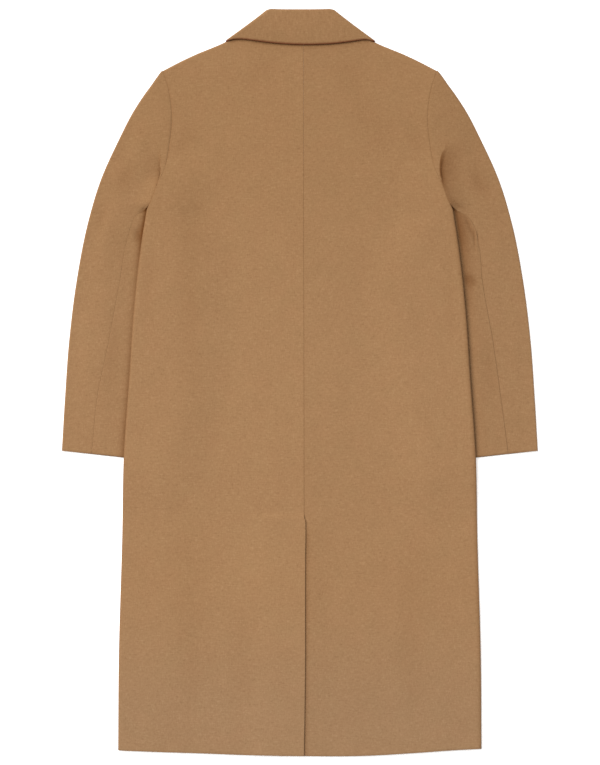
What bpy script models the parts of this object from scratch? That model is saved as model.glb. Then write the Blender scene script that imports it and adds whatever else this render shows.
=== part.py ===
"""A long wool overcoat that lies face down on a flat surface, back uppermost, in metres.

+X is the viewer's right, +Y runs from the hem to the collar, +Z is up. The origin is under the middle of the
coat's outline. Places on the coat are given as side (-1 left, 1 right), out (from the middle line) and down
(from the top of the collar). Every piece is a sheet of cloth through its own rows of points.
"""
import math

import bmesh
import bpy
import numpy as np

# Driving dimensions
CLOTH = 0.0020
LENGTH = 1.195
CENTRE_BACK = 0.006
SIDES = {"left": -1, "right": 1}

# Spaces between pieces: along a seam, at the armhole, at the side seam and at a fold
SEAM_GAP = 0.0003
ARMHOLE_GAP = 0.0006
UNDERARM_GAP = 0.0014
SIDE_GAP = 0.0006
FOLD_GAP = 0.0008
NECK_GAP = 0.0014

# Heights of the cloth's middle above the surface, and what lifts it
FRONT_Z = CLOTH / 2
SLEEVE_AIR = 0.0010
BODY_AIR = 0.0038
REST_GAP = 0.0008
SLEEVE_TOP_Z = FRONT_Z + CLOTH + SLEEVE_AIR
BACK_Z = FRONT_Z + CLOTH + BODY_AIR
SLEEVE_STACK = 2 * CLOTH + SLEEVE_AIR + REST_GAP
LAPEL_ROLL = 0.0013
LAP_LIFT = 2 * LAPEL_ROLL
LIFT_RAMP = 0.085
HIDDEN_MARGIN = 0.018
UNDERARM_CLIMB = (0.223, 0.316)
PAST_CUFF = (0.7255, 0.8265)
LAP_RAMP = 0.018
LAPEL_MARGIN = 0.016
LAP_MARGIN = 0.005
RIGHT_LAPEL_END = (0.276, 0.300)

# Turned edges: how far the cloth bends over from flat to upright, in steps of its quarter turn
EDGE_TURN = 0.0024
TURN_STEPS = (0, 40, 76, 90)
EDGE_INSET = CLOTH / 2 + 0.0002
EDGE_SEAM_Z = 0.0042

# Shoulder, neck, underarm and hem
NECK_OUT = 0.082
BACK_NECK_DROP = 0.005
SHOULDER_TIP = (0.2195, 0.0995)
UNDERARM = 0.311
LEVEL = 0.380
HEM_SIDE_RISE = 0.012
HEM_CURVE_START = 1.020
FRONT_HEM_RISE = 0.005
NECK_TURN = (0.068, 0.088)
SIDE_TURN_END = 0.345

# Front edge, lapel and lap
LAP = 0.019
ROLL_START = (0.0450, 0.0854)
ROLL_END = (0.0048, 0.2710)
LAP_STARTS = (0.300, 0.335)

# Vent
VENT_TOP = 0.8150
VENT_LIFT_START = 0.790
UNDERLAP = 0.040
UNDERLAP_DOWN = 0.8176
VENT_RISE = 0.0020
VENT_DIP = 0.0004
VENT_LIFT_MARGIN = 0.003
VENT_LIFT_RAMP = 0.025
VENT_DIP_RAMP = (0.010, 0.022)

# Collar, symmetrical about the middle of the coat
COLLAR_ROLL_BACK = 0.0020
COLLAR_ROLL_FRONT = 0.0012
FOLD_LEAD = 0.0012
COLLAR_TOP = 0.0031
NECK_SEAM_INSET = 0.0050
NECK_SEAM_BULGE = 0.0035
FOLD_Z_BACK = 0.0124
EDGE_Z_BACK = BACK_Z + CLOTH + REST_GAP
FOLD_CORNER = (0.0470, 0.0065)
EDGE_CORNER = (0.1118, 0.0515)
GORGE_FOLD = (0.0450, 0.0830)
COLLAR_TIP = (0.1150, 0.0960)

WOOL = (0.39, 0.225, 0.105)
WOOL_ROUGHNESS = 0.92


def table(columns, *rows):
    return dict(zip(columns.split(), np.array(rows).T))


# Outlines and seams: distance down from the collar's top, distance out from the middle
SHOULDER = table(
    "out down", (0.0820, 0.0405), (0.1248, 0.0566), (0.1686, 0.0742), (0.2019, 0.0902), (0.2195, 0.0995))
ARMHOLE = table(
    "down out",
    (0.0995, 0.2195), (0.1302, 0.2096), (0.1702, 0.2045), (0.2182, 0.2084),
    (0.2582, 0.2172), (0.2902, 0.2295), (0.3206, 0.2430))
BODY_SIDE = table(
    "down out",
    (0.3206, 0.2430), (0.3462, 0.2484), (0.3942, 0.2552), (0.4822, 0.2648), (0.5942, 0.2728),
    (0.7094, 0.2812), (0.8502, 0.2844), (1.0422, 0.2898), (1.1830, 0.2908))
SLEEVE_OUTER = table(
    "down out",
    (0.0995, 0.2195), (0.1046, 0.2256), (0.1302, 0.2438), (0.1622, 0.2650), (0.2102, 0.2901),
    (0.2742, 0.3188), (0.3382, 0.3382), (0.4342, 0.3572), (0.5302, 0.3692), (0.6262, 0.3762), (0.7046, 0.3810))
BACK_SLEEVE_SEAM = table(
    "down left right",
    (0.3110, 0.2389, 0.2389), (0.3222, 0.2496, 0.2512), (0.3302, 0.2616, 0.2656), (0.3462, 0.2696, 0.2784),
    (0.3702, 0.2768, 0.2853), (0.4342, 0.2880, 0.2920), (0.5302, 0.3056, 0.3088), (0.6262, 0.3248, 0.3224),
    (0.7110, 0.3328, 0.3336))
FRONT_SLEEVE_SEAM = table(
    "down out",
    (0.3110, 0.2389), (0.3222, 0.2510), (0.3342, 0.2610), (0.3600, 0.2680), (0.4262, 0.2600),
    (0.4982, 0.2540), (0.5942, 0.2600), (0.7218, 0.2800))
HIDDEN_FOLD = table(
    "down out",
    (0.3254, 0.2470), (0.3310, 0.2450), (0.3400, 0.2400), (0.3540, 0.2260), (0.3782, 0.2110), (0.4262, 0.1970),
    (0.4982, 0.1950), (0.5942, 0.2070), (0.7218, 0.2370))
CUFF = table("out down", (0.2370, 0.7218), (0.2820, 0.7182), (0.3332, 0.7110), (0.3810, 0.7046))
VENT_EDGE = table("down over", (0.8150, 0.0), (0.8400, 0.0028), (1.1000, 0.0018), (1.1950, 0.0005))
COLLAR_EDGE = table(
    "out down",
    (0.0, 0.0574), (0.0400, 0.0565), (0.0650, 0.0530), (0.0900, 0.0488), (0.1118, 0.0515))
FRONT_NECK = table("down out", (0.0405, 0.0820), (0.0560, 0.0680), (0.0830, 0.0500))
TURNED_FRONT = table(
    "down out",
    (0.0300, 0.1200), (0.0980, 0.1190), (0.1330, 0.1210), (0.1700, 0.1010), (0.2100, 0.0790),
    (0.2550, 0.0370), (0.2740, 0.0090), (0.3000, 0.0090))
LAPEL_EDGE = table(
    "down out",
    (0.1334, 0.1180), (0.1700, 0.0990), (0.2100, 0.0770), (0.2550, 0.0350), (0.2730, 0.0100))

# Where the sleeve leaves the armhole's height: a level strip, then the length of the fall
ARMHOLE_WIDENS = 0.250
FADE_ENDS = (0.308, 0.330)
HIDDEN_FOLD_START = 0.3262
UNDERARM_STRIP = table(
    "down strip fall",
    (0.0995, 0.006, 0.070), (0.2200, 0.008, 0.070), (0.2700, 0.008, 0.030), (0.3110, 0.004, 0.022))

# Long soft waves of the back, with hollows between: where each crest lies, how wide and high it is
WAVES_START = (0.22, 0.52)
WAVE_MARGIN = 0.040
HOLLOW = 0.0009
BACK_WAVES = table(
    "out width rise",
    (-0.060, 0.050, 0.0009), (0.085, 0.055, 0.0007), (-0.225, 0.045, 0.0005), (0.200, 0.050, 0.0006))

# Where the rows and columns of points run
ARMHOLE_STATIONS = (0.130, 0.158, 0.186, 0.214, 0.242, 0.268, 0.290, UNDERARM)
UNDERARM_STATIONS = (0.322, 0.334, 0.348, 0.363)
BODY_STATIONS = (LEVEL, 0.430, 0.500, 0.600, 0.700, PAST_CUFF[0], 0.746, 0.768, VENT_LIFT_START, 0.8025,
                 VENT_TOP, UNDERLAP_DOWN, PAST_CUFF[1], 0.930, 1.050, LENGTH)
BACK_SPACING = (0.0, 0.045, 0.09, 0.15, 0.19, 0.24, 0.32, 0.41, 0.50, 0.58, 0.65, 0.71, 0.77, 0.83, 0.90)
FRONT_SPACING = (0.0, 0.06, 0.12, 0.18, 0.26, 0.36, 0.46, 0.55, 0.62, 0.69, 0.76, 0.83, 0.90)
CAP_ROWS = table(
    "armhole outer",
    (0.1045, 0.1012), (0.115, 0.105), (0.130, 0.113), (0.158, 0.132), (0.186, 0.157), (0.214, 0.186), (0.242, 0.217),
    (0.268, 0.247), (0.290, 0.274), (UNDERARM, 0.299))
SEAM_ROWS = (0.02, 0.045, 0.085, 0.15, 0.25, 0.40, 0.57, 0.75, 0.90, 1.0)
UNDER_SLEEVE_START = 0.045
SLEEVE_SPACING = (0.0, 0.08, 0.22, 0.40, 0.60, 0.80, 1.0)


def read(rows, column, at):
    """The smooth value of one column at a place along the table's first column."""
    places = next(iter(rows.values()))
    values = rows[column]
    slopes = np.gradient(values, places)
    i = int(np.clip(np.searchsorted(places, at) - 1, 0, len(places) - 2))
    step = places[i + 1] - places[i]
    t = min(max((at - places[i]) / step, 0.0), 1.0)
    return (values[i] * (1 + 2 * t) * (1 - t) ** 2 + values[i + 1] * t * t * (3 - 2 * t)
            + step * (slopes[i] * t * (1 - t) ** 2 - slopes[i + 1] * t * t * (1 - t)))


def ease(t):
    """A soft step from 0 to 1."""
    t = min(max(t, 0.0), 1.0)
    return t * t * (3 - 2 * t)


def ramp(at, start, end):
    """A soft step from 0 at the start to 1 at the end."""
    return ease((at - start) / (end - start))


def mix(a, b, t):
    return a + (b - a) * t


def place(side, out, down, z):
    return np.array((side * out, LENGTH / 2 - down, z))


def body_edge(down):
    """The armhole seam and below it the side seam."""
    if down < ARMHOLE["down"][-1]:
        return read(ARMHOLE, "out", down)
    return read(BODY_SIDE, "out", down)


def underarm_rise(down):
    """How far the armhole seam has climbed onto the sleeve that lies under the body."""
    return SLEEVE_STACK * ramp(down, *UNDERARM_CLIMB)


def over_sleeve(out, down):
    """The lift of the body where the sleeve's inner half lies under it."""
    hidden = read(HIDDEN_FOLD, "out", down) if down > HIDDEN_FOLD["down"][0] else body_edge(down)
    top = hidden - HIDDEN_MARGIN
    return underarm_rise(down) * ramp(out, top - LIFT_RAMP, top) * (1 - ramp(down, *PAST_CUFF))


def over_lapel(side, out, down):
    """The lift of a front over its lapel and the collar, and of the left front over the right one."""
    lapel_end = read(TURNED_FRONT, "out", down) + LAPEL_MARGIN
    lift = 1 - ramp(out, lapel_end, lapel_end + LAP_RAMP)
    if side > 0:
        return LAP_LIFT * lift * (1 - ramp(down, *RIGHT_LAPEL_END))
    lap_end = LAP + LAP_MARGIN
    lap = 1 - ramp(out, lap_end, lap_end + LAP_RAMP)
    return LAP_LIFT * (max(lift, lap) if down < LAP_STARTS[0] else lap)


def front_z(side, out, down):
    return FRONT_Z + over_sleeve(out, down) + over_lapel(side, out, down)


def vent_shape(side, x, down):
    """The left back stands on the underlap of the right one, which dips under it."""
    along = ramp(down, VENT_LIFT_START, VENT_TOP)
    if side < 0:
        lifted = CENTRE_BACK - UNDERLAP - VENT_LIFT_MARGIN
        return VENT_RISE * along * ramp(x, lifted - VENT_LIFT_RAMP, lifted)
    return -VENT_DIP * along * (1 - ramp(x, *VENT_DIP_RAMP))


def back_wave(x, down):
    """Soft folds that run down the back from below the shoulders and flatten at the sides."""
    along = ramp(down, *WAVES_START) * ease((body_edge(down) - abs(x)) / WAVE_MARGIN)
    waves = zip(BACK_WAVES["out"], BACK_WAVES["width"], BACK_WAVES["rise"])
    return along * (sum(rise * math.exp(-((x - out) / width) ** 2) for out, width, rise in waves) - HOLLOW)


def back_z(side, out, down):
    x = side * out
    return BACK_Z + over_sleeve(out, down) + vent_shape(side, x, down) + back_wave(x, down)


def edge_seam_z(side, out, down):
    """The height of the side and shoulder seams, half way down the turned edge."""
    return EDGE_SEAM_Z + over_sleeve(out, down) + 0.4 * over_lapel(side, out, down)


def shoulder_down(out):
    return read(SHOULDER, "down", out)


def back_top(out):
    """The back neckline and the shoulder line."""
    if out < NECK_OUT:
        return shoulder_down(NECK_OUT) + BACK_NECK_DROP * (1 - (out / NECK_OUT) ** 2)
    return shoulder_down(out)


def front_edge(down):
    """The front neckline, the roll line and the lap past the middle."""
    if down < ROLL_START[1]:
        return read(FRONT_NECK, "out", down)
    if down < ROLL_END[1]:
        return mix(ROLL_START[0], ROLL_END[0], (down - ROLL_START[1]) / (ROLL_END[1] - ROLL_START[1]))
    return mix(ROLL_END[0], -LAP, ramp(down, *LAP_STARTS))


def hem_down(out, rise):
    return LENGTH - rise - HEM_SIDE_RISE * (out / BODY_SIDE["out"][-1]) ** 2


def turns():
    """Distance from an edge and how far the turn has gone, from the edge inward."""
    angles = [math.radians(a) for a in reversed(TURN_STEPS)]
    return [(EDGE_TURN * (1 - math.sin(a)), 1 - math.cos(a)) for a in angles]


def body_row(side, layer, inner, top, hem, row, spacing):
    """One row of a body panel: row holds the kind, the place and the turn at the shoulder."""
    kind, at, top_turn = row

    def past_neck(out):
        return ramp(out, *NECK_TURN)

    def down_at(out):
        start = top(out) + EDGE_INSET * past_neck(out)
        if kind == "turn":
            return start + at
        if kind == "upper":
            return mix(start + EDGE_TURN, LEVEL, at)
        return at + (hem(out) - LENGTH) * ramp(at, HEM_CURVE_START, LENGTH)

    neck = inner(shoulder_down(NECK_OUT))
    tip_down = down_at(SHOULDER_TIP[0])
    turned = ramp(tip_down, UNDERARM, SIDE_TURN_END)
    edge = body_edge(tip_down) - CLOTH / 2 * turned
    start = inner(down_at(neck))
    width = edge - start
    spread = [(1 - distance / width, turn) for distance, turn in turns()]
    points = []
    for t, side_turn in [(t * spread[-1][0], 0.0) for t in spacing] + spread[::-1]:
        out = start + t * width
        top_out = mix(neck, SHOULDER_TIP[0], t) if kind != "level" else out
        down = down_at(top_out)
        own, seam = layer(side, out, down), edge_seam_z(side, out, down)
        gap = SIDE_GAP / 2 if own > seam else -SIDE_GAP / 2
        turn = max(side_turn * turned, top_turn * past_neck(top_out))
        points.append(place(side, out, down, mix(own, seam + gap, turn)))
    return points


def body_rows(side, layer, inner, top, hem, spacing):
    flat = SHOULDER_TIP[1] + EDGE_INSET + EDGE_TURN
    rows = [("turn", distance, turn) for distance, turn in turns()]
    rows += [("upper", (down - flat) / (LEVEL - flat), 0.0) for down in ARMHOLE_STATIONS + UNDERARM_STATIONS]
    rows += [("level", down, 0.0) for down in BODY_STATIONS]
    return [body_row(side, layer, inner, top, hem, row, spacing) for row in rows]


def wool(name, shade):
    """Each piece has its own material, a shade of the same camel wool."""
    material = bpy.data.materials.new(name)
    material.use_nodes = True
    shader = material.node_tree.nodes["Principled BSDF"]
    shader.inputs["Base Color"].default_value = tuple(c * shade for c in WOOL) + (1.0,)
    shader.inputs["Roughness"].default_value = WOOL_ROUGHNESS
    shader.inputs["Metallic"].default_value = 0.0
    return material


def sheet(name, rows, shade=1.0, cut_away=None):
    """A sheet of cloth through rows of points, as thick as the wool; cut_away tells which faces go."""
    columns = len(rows[0])
    bm = bmesh.new()
    bmesh.ops.create_grid(bm, x_segments=columns - 1, y_segments=len(rows) - 1, size=1.0)
    bm.verts.ensure_lookup_table()
    for vertex, point in zip(bm.verts, (point for row in rows for point in row)):
        vertex.co = point
    if cut_away:
        cut = [face for face in bm.faces if cut_away(face.calc_center_median())]
        bmesh.ops.delete(bm, geom=cut, context="FACES")
    mesh = bpy.data.meshes.new(name)
    bm.to_mesh(mesh)
    bm.free()
    mesh.shade_smooth()
    mesh.materials.append(wool(name + "_wool", shade))
    piece = bpy.data.objects.new(name, mesh)
    COAT.objects.link(piece)
    wall = piece.modifiers.new("wall", "SOLIDIFY")
    wall.thickness = CLOTH
    wall.offset = 0.0
    wall.use_even_offset = True
    return piece


def back_panels():
    """The left back laps over the right one at the vent, whose underlap is cut with the right back."""
    def left_inner(down):
        over = read(VENT_EDGE, "over", down) if down > VENT_TOP else 0.0
        return SEAM_GAP / 2 - CENTRE_BACK - over

    def right_inner(down):
        return CENTRE_BACK + SEAM_GAP / 2

    def hem(out):
        return hem_down(out, 0.0)

    sheet("back_left", body_rows(-1, back_z, left_inner, back_top, hem, BACK_SPACING))
    rows = []
    for row in body_rows(1, back_z, right_inner, back_top, hem, BACK_SPACING):
        y = row[0][1]
        lap = [row[0][0] - UNDERLAP * step for step in (1.0, 0.66, 0.33)]
        rows.append([np.array((x, y, back_z(1, x, LENGTH / 2 - y))) for x in lap] + row)
    y_cut = LENGTH / 2 - UNDERLAP_DOWN
    sheet("back_right", rows, 0.97, lambda centre: centre.x < CENTRE_BACK and centre.y > y_cut)


def front_panels():
    """The hidden fronts, the right one outermost, which lies lowest."""
    def hem(out):
        return hem_down(out, FRONT_HEM_RISE)

    for name, side in SIDES.items():
        rows = body_rows(side, front_z, front_edge, shoulder_down, hem, FRONT_SPACING)
        sheet("front_" + name, rows, 0.9)


def lapels():
    """The top of each front turned back under it along the roll line."""
    steps = 8
    for name, side in SIDES.items():
        rows = []
        for k in range(steps + 1):
            q = k / steps
            roll_out, roll_down = (mix(a, b, q) for a, b in zip(ROLL_START, ROLL_END))
            edge_down = mix(LAPEL_EDGE["down"][0], LAPEL_EDGE["down"][-1], q)
            edge_out = read(LAPEL_EDGE, "out", edge_down)
            centre_z = FRONT_Z + LAP_LIFT - LAPEL_ROLL
            row = []
            for angle in (90, 60, 30, 0, -30, -60):
                a = math.radians(angle)
                out = roll_out - FOLD_GAP - LAPEL_ROLL * math.cos(a)
                row.append(place(side, out, roll_down, centre_z + LAPEL_ROLL * math.sin(a)))
            for t in (0.0, 0.2, 0.4, 0.6, 0.8, 1.0):
                out = mix(roll_out, edge_out, t)
                row.append(place(side, out, mix(roll_down, edge_down, t), FRONT_Z))
            rows.append(row)
        sheet("lapel_" + name, rows, 0.94)


def collar_sections():
    """Sections of the collar from the left front end round the back to the right one.

    Each is the centre of the fold, the end of the leaf, the way the leaf faces, and the radius of the fold.
    """
    up = np.array((0.0, 0.0, 1.0))
    half = []
    for u in (0.0, 0.25, 0.5, 0.75, 1.0):
        fold = place(1, u * FOLD_CORNER[0], mix(COLLAR_TOP, FOLD_CORNER[1], u ** 4), FOLD_Z_BACK)
        out = u * EDGE_CORNER[0]
        half.append((fold, place(1, out, read(COLLAR_EDGE, "down", out), EDGE_Z_BACK), up, COLLAR_ROLL_BACK))
    fold_front_z = FRONT_Z + COLLAR_ROLL_FRONT
    fold_rise, edge_rise = (FOLD_Z_BACK - fold_front_z) / 2, (EDGE_Z_BACK - FRONT_Z) / 2
    fold_axis = place(1, *FOLD_CORNER, fold_front_z + fold_rise)
    edge_axis = place(1, *EDGE_CORNER, FRONT_Z + edge_rise)
    along = (edge_axis - fold_axis) * (1, 1, 0)
    outward = np.array((-along[1], along[0], 0.0)) / np.linalg.norm(along)
    for angle in (30, 60, 90, 120, 150, 180):
        a = math.radians(angle)
        facing = math.cos(a) * up + math.sin(a) * outward
        roll = mix(COLLAR_ROLL_BACK, COLLAR_ROLL_FRONT, angle / 180)
        half.append((fold_axis + fold_rise * facing, edge_axis + edge_rise * facing, facing, roll))
    for u in (0.25, 0.5, 0.75, 1.0):
        fold = place(1, mix(FOLD_CORNER[0], GORGE_FOLD[0], u), mix(FOLD_CORNER[1], GORGE_FOLD[1], u), fold_front_z)
        end = place(1, mix(EDGE_CORNER[0], COLLAR_TIP[0], u), mix(EDGE_CORNER[1], COLLAR_TIP[1], u), FRONT_Z)
        half.append((fold, end, -up, COLLAR_ROLL_FRONT))
    flip = np.array((-1, 1, 1))
    mirrored = [(fold * flip, end * flip, facing * flip, roll) for fold, end, facing, roll in half[:0:-1]]
    return mirrored + half


def collar_fall(sections):
    """The leaf with the rounded fold at its top."""
    rows = []
    for fold, end, facing, roll in sections:
        leaf_start = fold + roll * facing
        along = end - leaf_start
        away = -along * (1, 1, 0) / np.linalg.norm(along[:2])
        away = away - facing * np.dot(away, facing)
        away = away / np.linalg.norm(away)
        row = [fold - roll * facing - away * FOLD_LEAD]
        for angle in (180, 135, 90, 45):
            a = math.radians(angle)
            row.append(fold + roll * (math.cos(a) * facing + math.sin(a) * away))
        row += [mix(leaf_start, end, t) for t in (0.0, 0.25, 0.5, 0.75, 1.0)]
        rows.append(row)
    sheet("collar_fall", rows, 0.95)


def neck_seam(section, count):
    """The place on the neck seam that belongs to a section of the collar."""
    middle = count // 2
    side = 1 if section >= middle else -1
    index = abs(section - middle)
    back, turn, front = 4, 6, 4
    front_neck_z = FRONT_Z + LAP_LIFT
    neck_down, corner = shoulder_down(NECK_OUT), NECK_OUT - NECK_SEAM_INSET
    if index <= back:
        out = index / back * corner
        return place(side, out, back_top(out) - NECK_GAP, BACK_Z)
    if index <= back + turn:
        around = math.pi * (index - back) / turn
        radius = (BACK_Z - front_neck_z) / 2
        return place(side, corner + NECK_SEAM_BULGE * math.sin(around), neck_down - NECK_GAP,
                     BACK_Z - radius + radius * math.cos(around))
    down = mix(neck_down, GORGE_FOLD[1], (index - back - turn) / front)
    return place(side, read(FRONT_NECK, "out", down) - NECK_GAP, down, front_neck_z)


def collar_stand(sections):
    """The band from the neck seam up to the fold, inside the collar."""
    rows = []
    for k, (fold, _, facing, roll) in enumerate(sections):
        foot = neck_seam(k, len(sections))
        head = fold - roll * facing
        head = head + (foot - head) / np.linalg.norm(foot - head) * (FOLD_LEAD + FOLD_GAP)
        rows.append([mix(foot, head, t) for t in (0.0, 0.33, 0.67, 1.0)])
    sheet("collar_stand", rows, 0.88)


def sleeve_fade(down, out, shift):
    """How much of the armhole seam's height the sleeve still has at a place out from it."""
    strip, fall = read(UNDERARM_STRIP, "strip", down), read(UNDERARM_STRIP, "fall", down)
    away = ease((out - body_edge(min(down, UNDERARM)) - strip + shift) / fall)
    return (1 - away) * (1 - ramp(down, *FADE_ENDS))


def sleeve_top_z(down, out):
    fade = sleeve_fade(down, out, 0.0)
    return SLEEVE_TOP_Z + (BACK_Z - SLEEVE_TOP_Z + underarm_rise(min(down, UNDERARM))) * fade


def sleeve_low_z(down, out):
    return FRONT_Z + underarm_rise(min(down, UNDERARM)) * sleeve_fade(down, out, 0.003)


def cuff_down(out):
    return read(CUFF, "down", out)


def armhole_gap(down):
    """The seam's space widens where the sleeve falls away at the underarm."""
    return mix(ARMHOLE_GAP, UNDERARM_GAP, ramp(down, ARMHOLE_WIDENS, UNDERARM))


def seam_place(seam, s):
    """A place on a sleeve seam, s from the underarm to the cuff."""
    down = mix(UNDERARM, cuff_down(seam(CUFF["down"].max())), s)
    return np.array((seam(down), down))


def sleeve_rows(seam):
    """Where each row of the outer piece starts, at the armhole or a seam, and ends, at the outer edge."""
    rows = [((read(ARMHOLE, "out", armhole) + armhole_gap(armhole), armhole), outer)
            for armhole, outer in zip(CAP_ROWS["armhole"], CAP_ROWS["outer"])]
    last = rows[-1][1]
    rows += [(seam_place(seam, s), mix(last, SLEEVE_OUTER["down"][-1], s)) for s in SEAM_ROWS]
    return [(np.array(start), np.array((read(SLEEVE_OUTER, "out", down), down))) for start, down in rows]


def top_sleeve_row(side, back_ends, front_ends):
    """The outer piece: over the back, round the outer edge and back under to the front seam."""
    (start, outer), (end, _) = back_ends, front_ends
    high, low = sleeve_top_z(outer[1], outer[0]), sleeve_low_z(outer[1], outer[0])
    reach = min((high - low) / 2, EDGE_TURN)
    outward = (outer - start) / np.linalg.norm(outer - start)
    centre = outer - outward * (reach + CLOTH / 2)
    points = []
    for t in SLEEVE_SPACING:
        out, down = mix(start, centre, t)
        points.append(place(side, out, down, sleeve_top_z(down, out)))
    for angle in (45, 90, 135):
        a = math.radians(angle)
        out, down = centre + outward * reach * math.sin(a)
        points.append(place(side, out, down, (high + low) / 2 + (high - low) / 2 * math.cos(a)))
    for t in SLEEVE_SPACING[::-1]:
        out, down = mix(end, centre, t)
        points.append(place(side, out, down, sleeve_low_z(down, out)))
    return points


def under_sleeve_row(side, back_seam, front_seam, s):
    """The inner piece: from the back seam in under the body, round the hidden fold to the front seam."""
    along = (s - UNDER_SLEEVE_START) / (1 - UNDER_SLEEVE_START)
    seam_out, seam_down = seam_place(back_seam, s)
    end_out, end_down = seam_place(front_seam, s)
    fold_down = mix(HIDDEN_FOLD_START, cuff_down(HIDDEN_FOLD["out"][-1]), along)
    fold = read(HIDDEN_FOLD, "out", fold_down)
    reach = (SLEEVE_TOP_Z - FRONT_Z) / 2
    points = []
    for t in (0.0, 0.2, 0.4, 0.6, 0.8, 1.0):
        out, down = mix(seam_out - 2 * SEAM_GAP, fold + reach, t), mix(seam_down, fold_down, t)
        points.append(place(side, out, down, sleeve_top_z(down, out)))
    high, low = sleeve_top_z(fold_down, fold + reach), sleeve_low_z(fold_down, fold + reach)
    for angle in (45, 90, 135):
        a = math.radians(angle)
        z = (high + low) / 2 + (high - low) / 2 * math.cos(a)
        points.append(place(side, fold + reach - reach * math.sin(a), fold_down, z))
    for t in (0.0, 0.5, 1.0):
        out, down = mix(fold + reach, end_out - 2 * SEAM_GAP, t), mix(fold_down, end_down, t)
        points.append(place(side, out, down, sleeve_low_z(down, out)))
    return points


def sleeves():
    for name, side in SIDES.items():
        def back_seam(down):
            return read(BACK_SLEEVE_SEAM, name, down)

        def front_seam(down):
            return read(FRONT_SLEEVE_SEAM, "out", down)

        ends = zip(sleeve_rows(back_seam), sleeve_rows(front_seam))
        sheet("top_sleeve_" + name, [top_sleeve_row(side, back, front) for back, front in ends])
        inner = [s for s in SEAM_ROWS if s >= UNDER_SLEEVE_START]
        sheet("under_sleeve_" + name, [under_sleeve_row(side, back_seam, front_seam, s) for s in inner], 0.93)


for old in list(bpy.data.objects):
    bpy.data.objects.remove(old, do_unlink=True)
COAT = bpy.data.collections.new("overcoat")
bpy.context.scene.collection.children.link(COAT)
back_panels()
front_panels()
lapels()
SECTIONS = collar_sections()
collar_fall(SECTIONS)
collar_stand(SECTIONS)
sleeves()
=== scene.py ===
"""Looks of a long camel wool overcoat that lies face down: its cloth, seams, creases, light and camera.

Places on the coat are given as side (-1 left, 1 right), out (from the middle line) and down (from the top
of the collar), in metres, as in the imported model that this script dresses.
"""
import math

import bpy
import numpy as np
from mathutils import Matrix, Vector


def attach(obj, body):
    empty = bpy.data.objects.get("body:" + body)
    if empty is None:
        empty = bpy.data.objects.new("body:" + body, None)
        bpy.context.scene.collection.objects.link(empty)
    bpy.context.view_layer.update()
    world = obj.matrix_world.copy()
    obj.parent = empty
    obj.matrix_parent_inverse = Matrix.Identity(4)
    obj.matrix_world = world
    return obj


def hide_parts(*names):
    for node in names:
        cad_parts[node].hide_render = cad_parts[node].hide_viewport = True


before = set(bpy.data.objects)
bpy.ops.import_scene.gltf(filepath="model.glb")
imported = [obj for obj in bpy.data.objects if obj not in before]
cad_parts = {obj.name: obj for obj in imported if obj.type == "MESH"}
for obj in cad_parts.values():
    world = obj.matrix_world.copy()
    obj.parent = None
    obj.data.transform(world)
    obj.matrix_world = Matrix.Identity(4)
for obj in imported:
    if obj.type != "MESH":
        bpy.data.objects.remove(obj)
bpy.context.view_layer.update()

# Driving dimensions of the cloth and the coat
CLOTH = 0.002
COLLAR_CLOTH = 0.003
LENGTH = 1.195
CENTRE_TOP = 0.0057
CENTRE_VENT = 0.0073
SIDES = {"left": -1, "right": 1}
SEAM_GAP = 0.0001
EDGE_SOFT = 0.0002
SIDE_GAP = 0.0006
FOLD_GAP = 0.0008
NECK_GAP = 0.0014

# Heights of the cloth's middle above the floor, and what lifts it
FRONT_Z = CLOTH / 2
SLEEVE_AIR = 0.001
BODY_AIR = 0.0038
REST_GAP = 0.0008
LAYER = 1.2 * CLOTH
SLEEVE_TOP_Z = FRONT_Z + CLOTH + SLEEVE_AIR
BACK_Z = FRONT_Z + CLOTH + BODY_AIR
SLEEVE_STACK = 2 * CLOTH + SLEEVE_AIR + REST_GAP
LAPEL_ROLL = 0.0013
LAP_LIFT = 2 * LAPEL_ROLL
LIFT_RAMP = 0.085
HIDDEN_MARGIN = 0.018
UNDERARM_CLIMB = (0.223, 0.316)
PAST_CUFF = (0.7255, 0.8265)
LAP_RAMP = 0.018
LAPEL_MARGIN = 0.016
LAP_MARGIN = 0.005
RIGHT_LAPEL_END = (0.276, 0.3)

# Turned edges, shoulder, neck, underarm and hem
EDGE_TURN = 0.0024
TURN_STEPS = (0, 18, 36, 54, 72, 90)
EDGE_INSET = CLOTH / 2 + 0.0002
EDGE_SEAM_Z = 0.0042
EDGE_OVER_LAPEL = 0.4
NECK_OUT = 0.082
BACK_NECK_DROP = 0.005
SHOULDER_TIP = (0.2196, 0.0992)
SIDE_SEAM_TOP = (0.3206, 0.244)
UNDERARM = 0.311
LEVEL = 0.38
HEM_CURVE_START = 1.02
FRONT_HEM_RISE = 0.005
NECK_TURN = (0.068, 0.088)
SIDE_TURN_END = 0.345

# Front edge, lapel and lap
LAP = 0.019
ROLL_START = (0.045, 0.0854)
ROLL_END = (0.0048, 0.271)
LAP_STARTS = (0.3, 0.335)

# Vent
VENT_TOP = 0.815
VENT_LIFT_START = 0.807
UNDERLAP = 0.04
UNDERLAP_DOWN = 0.8176
VENT_RISE = 0.002
VENT_DIP = 0.0004
VENT_LIFT_MARGIN = 0.003
VENT_LIFT_RAMP = 0.07
VENT_DIP_RAMP = (0.01, 0.022)
VENT_CURVE_END = 0.825
UNDERLAP_COLUMNS = 10

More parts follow.
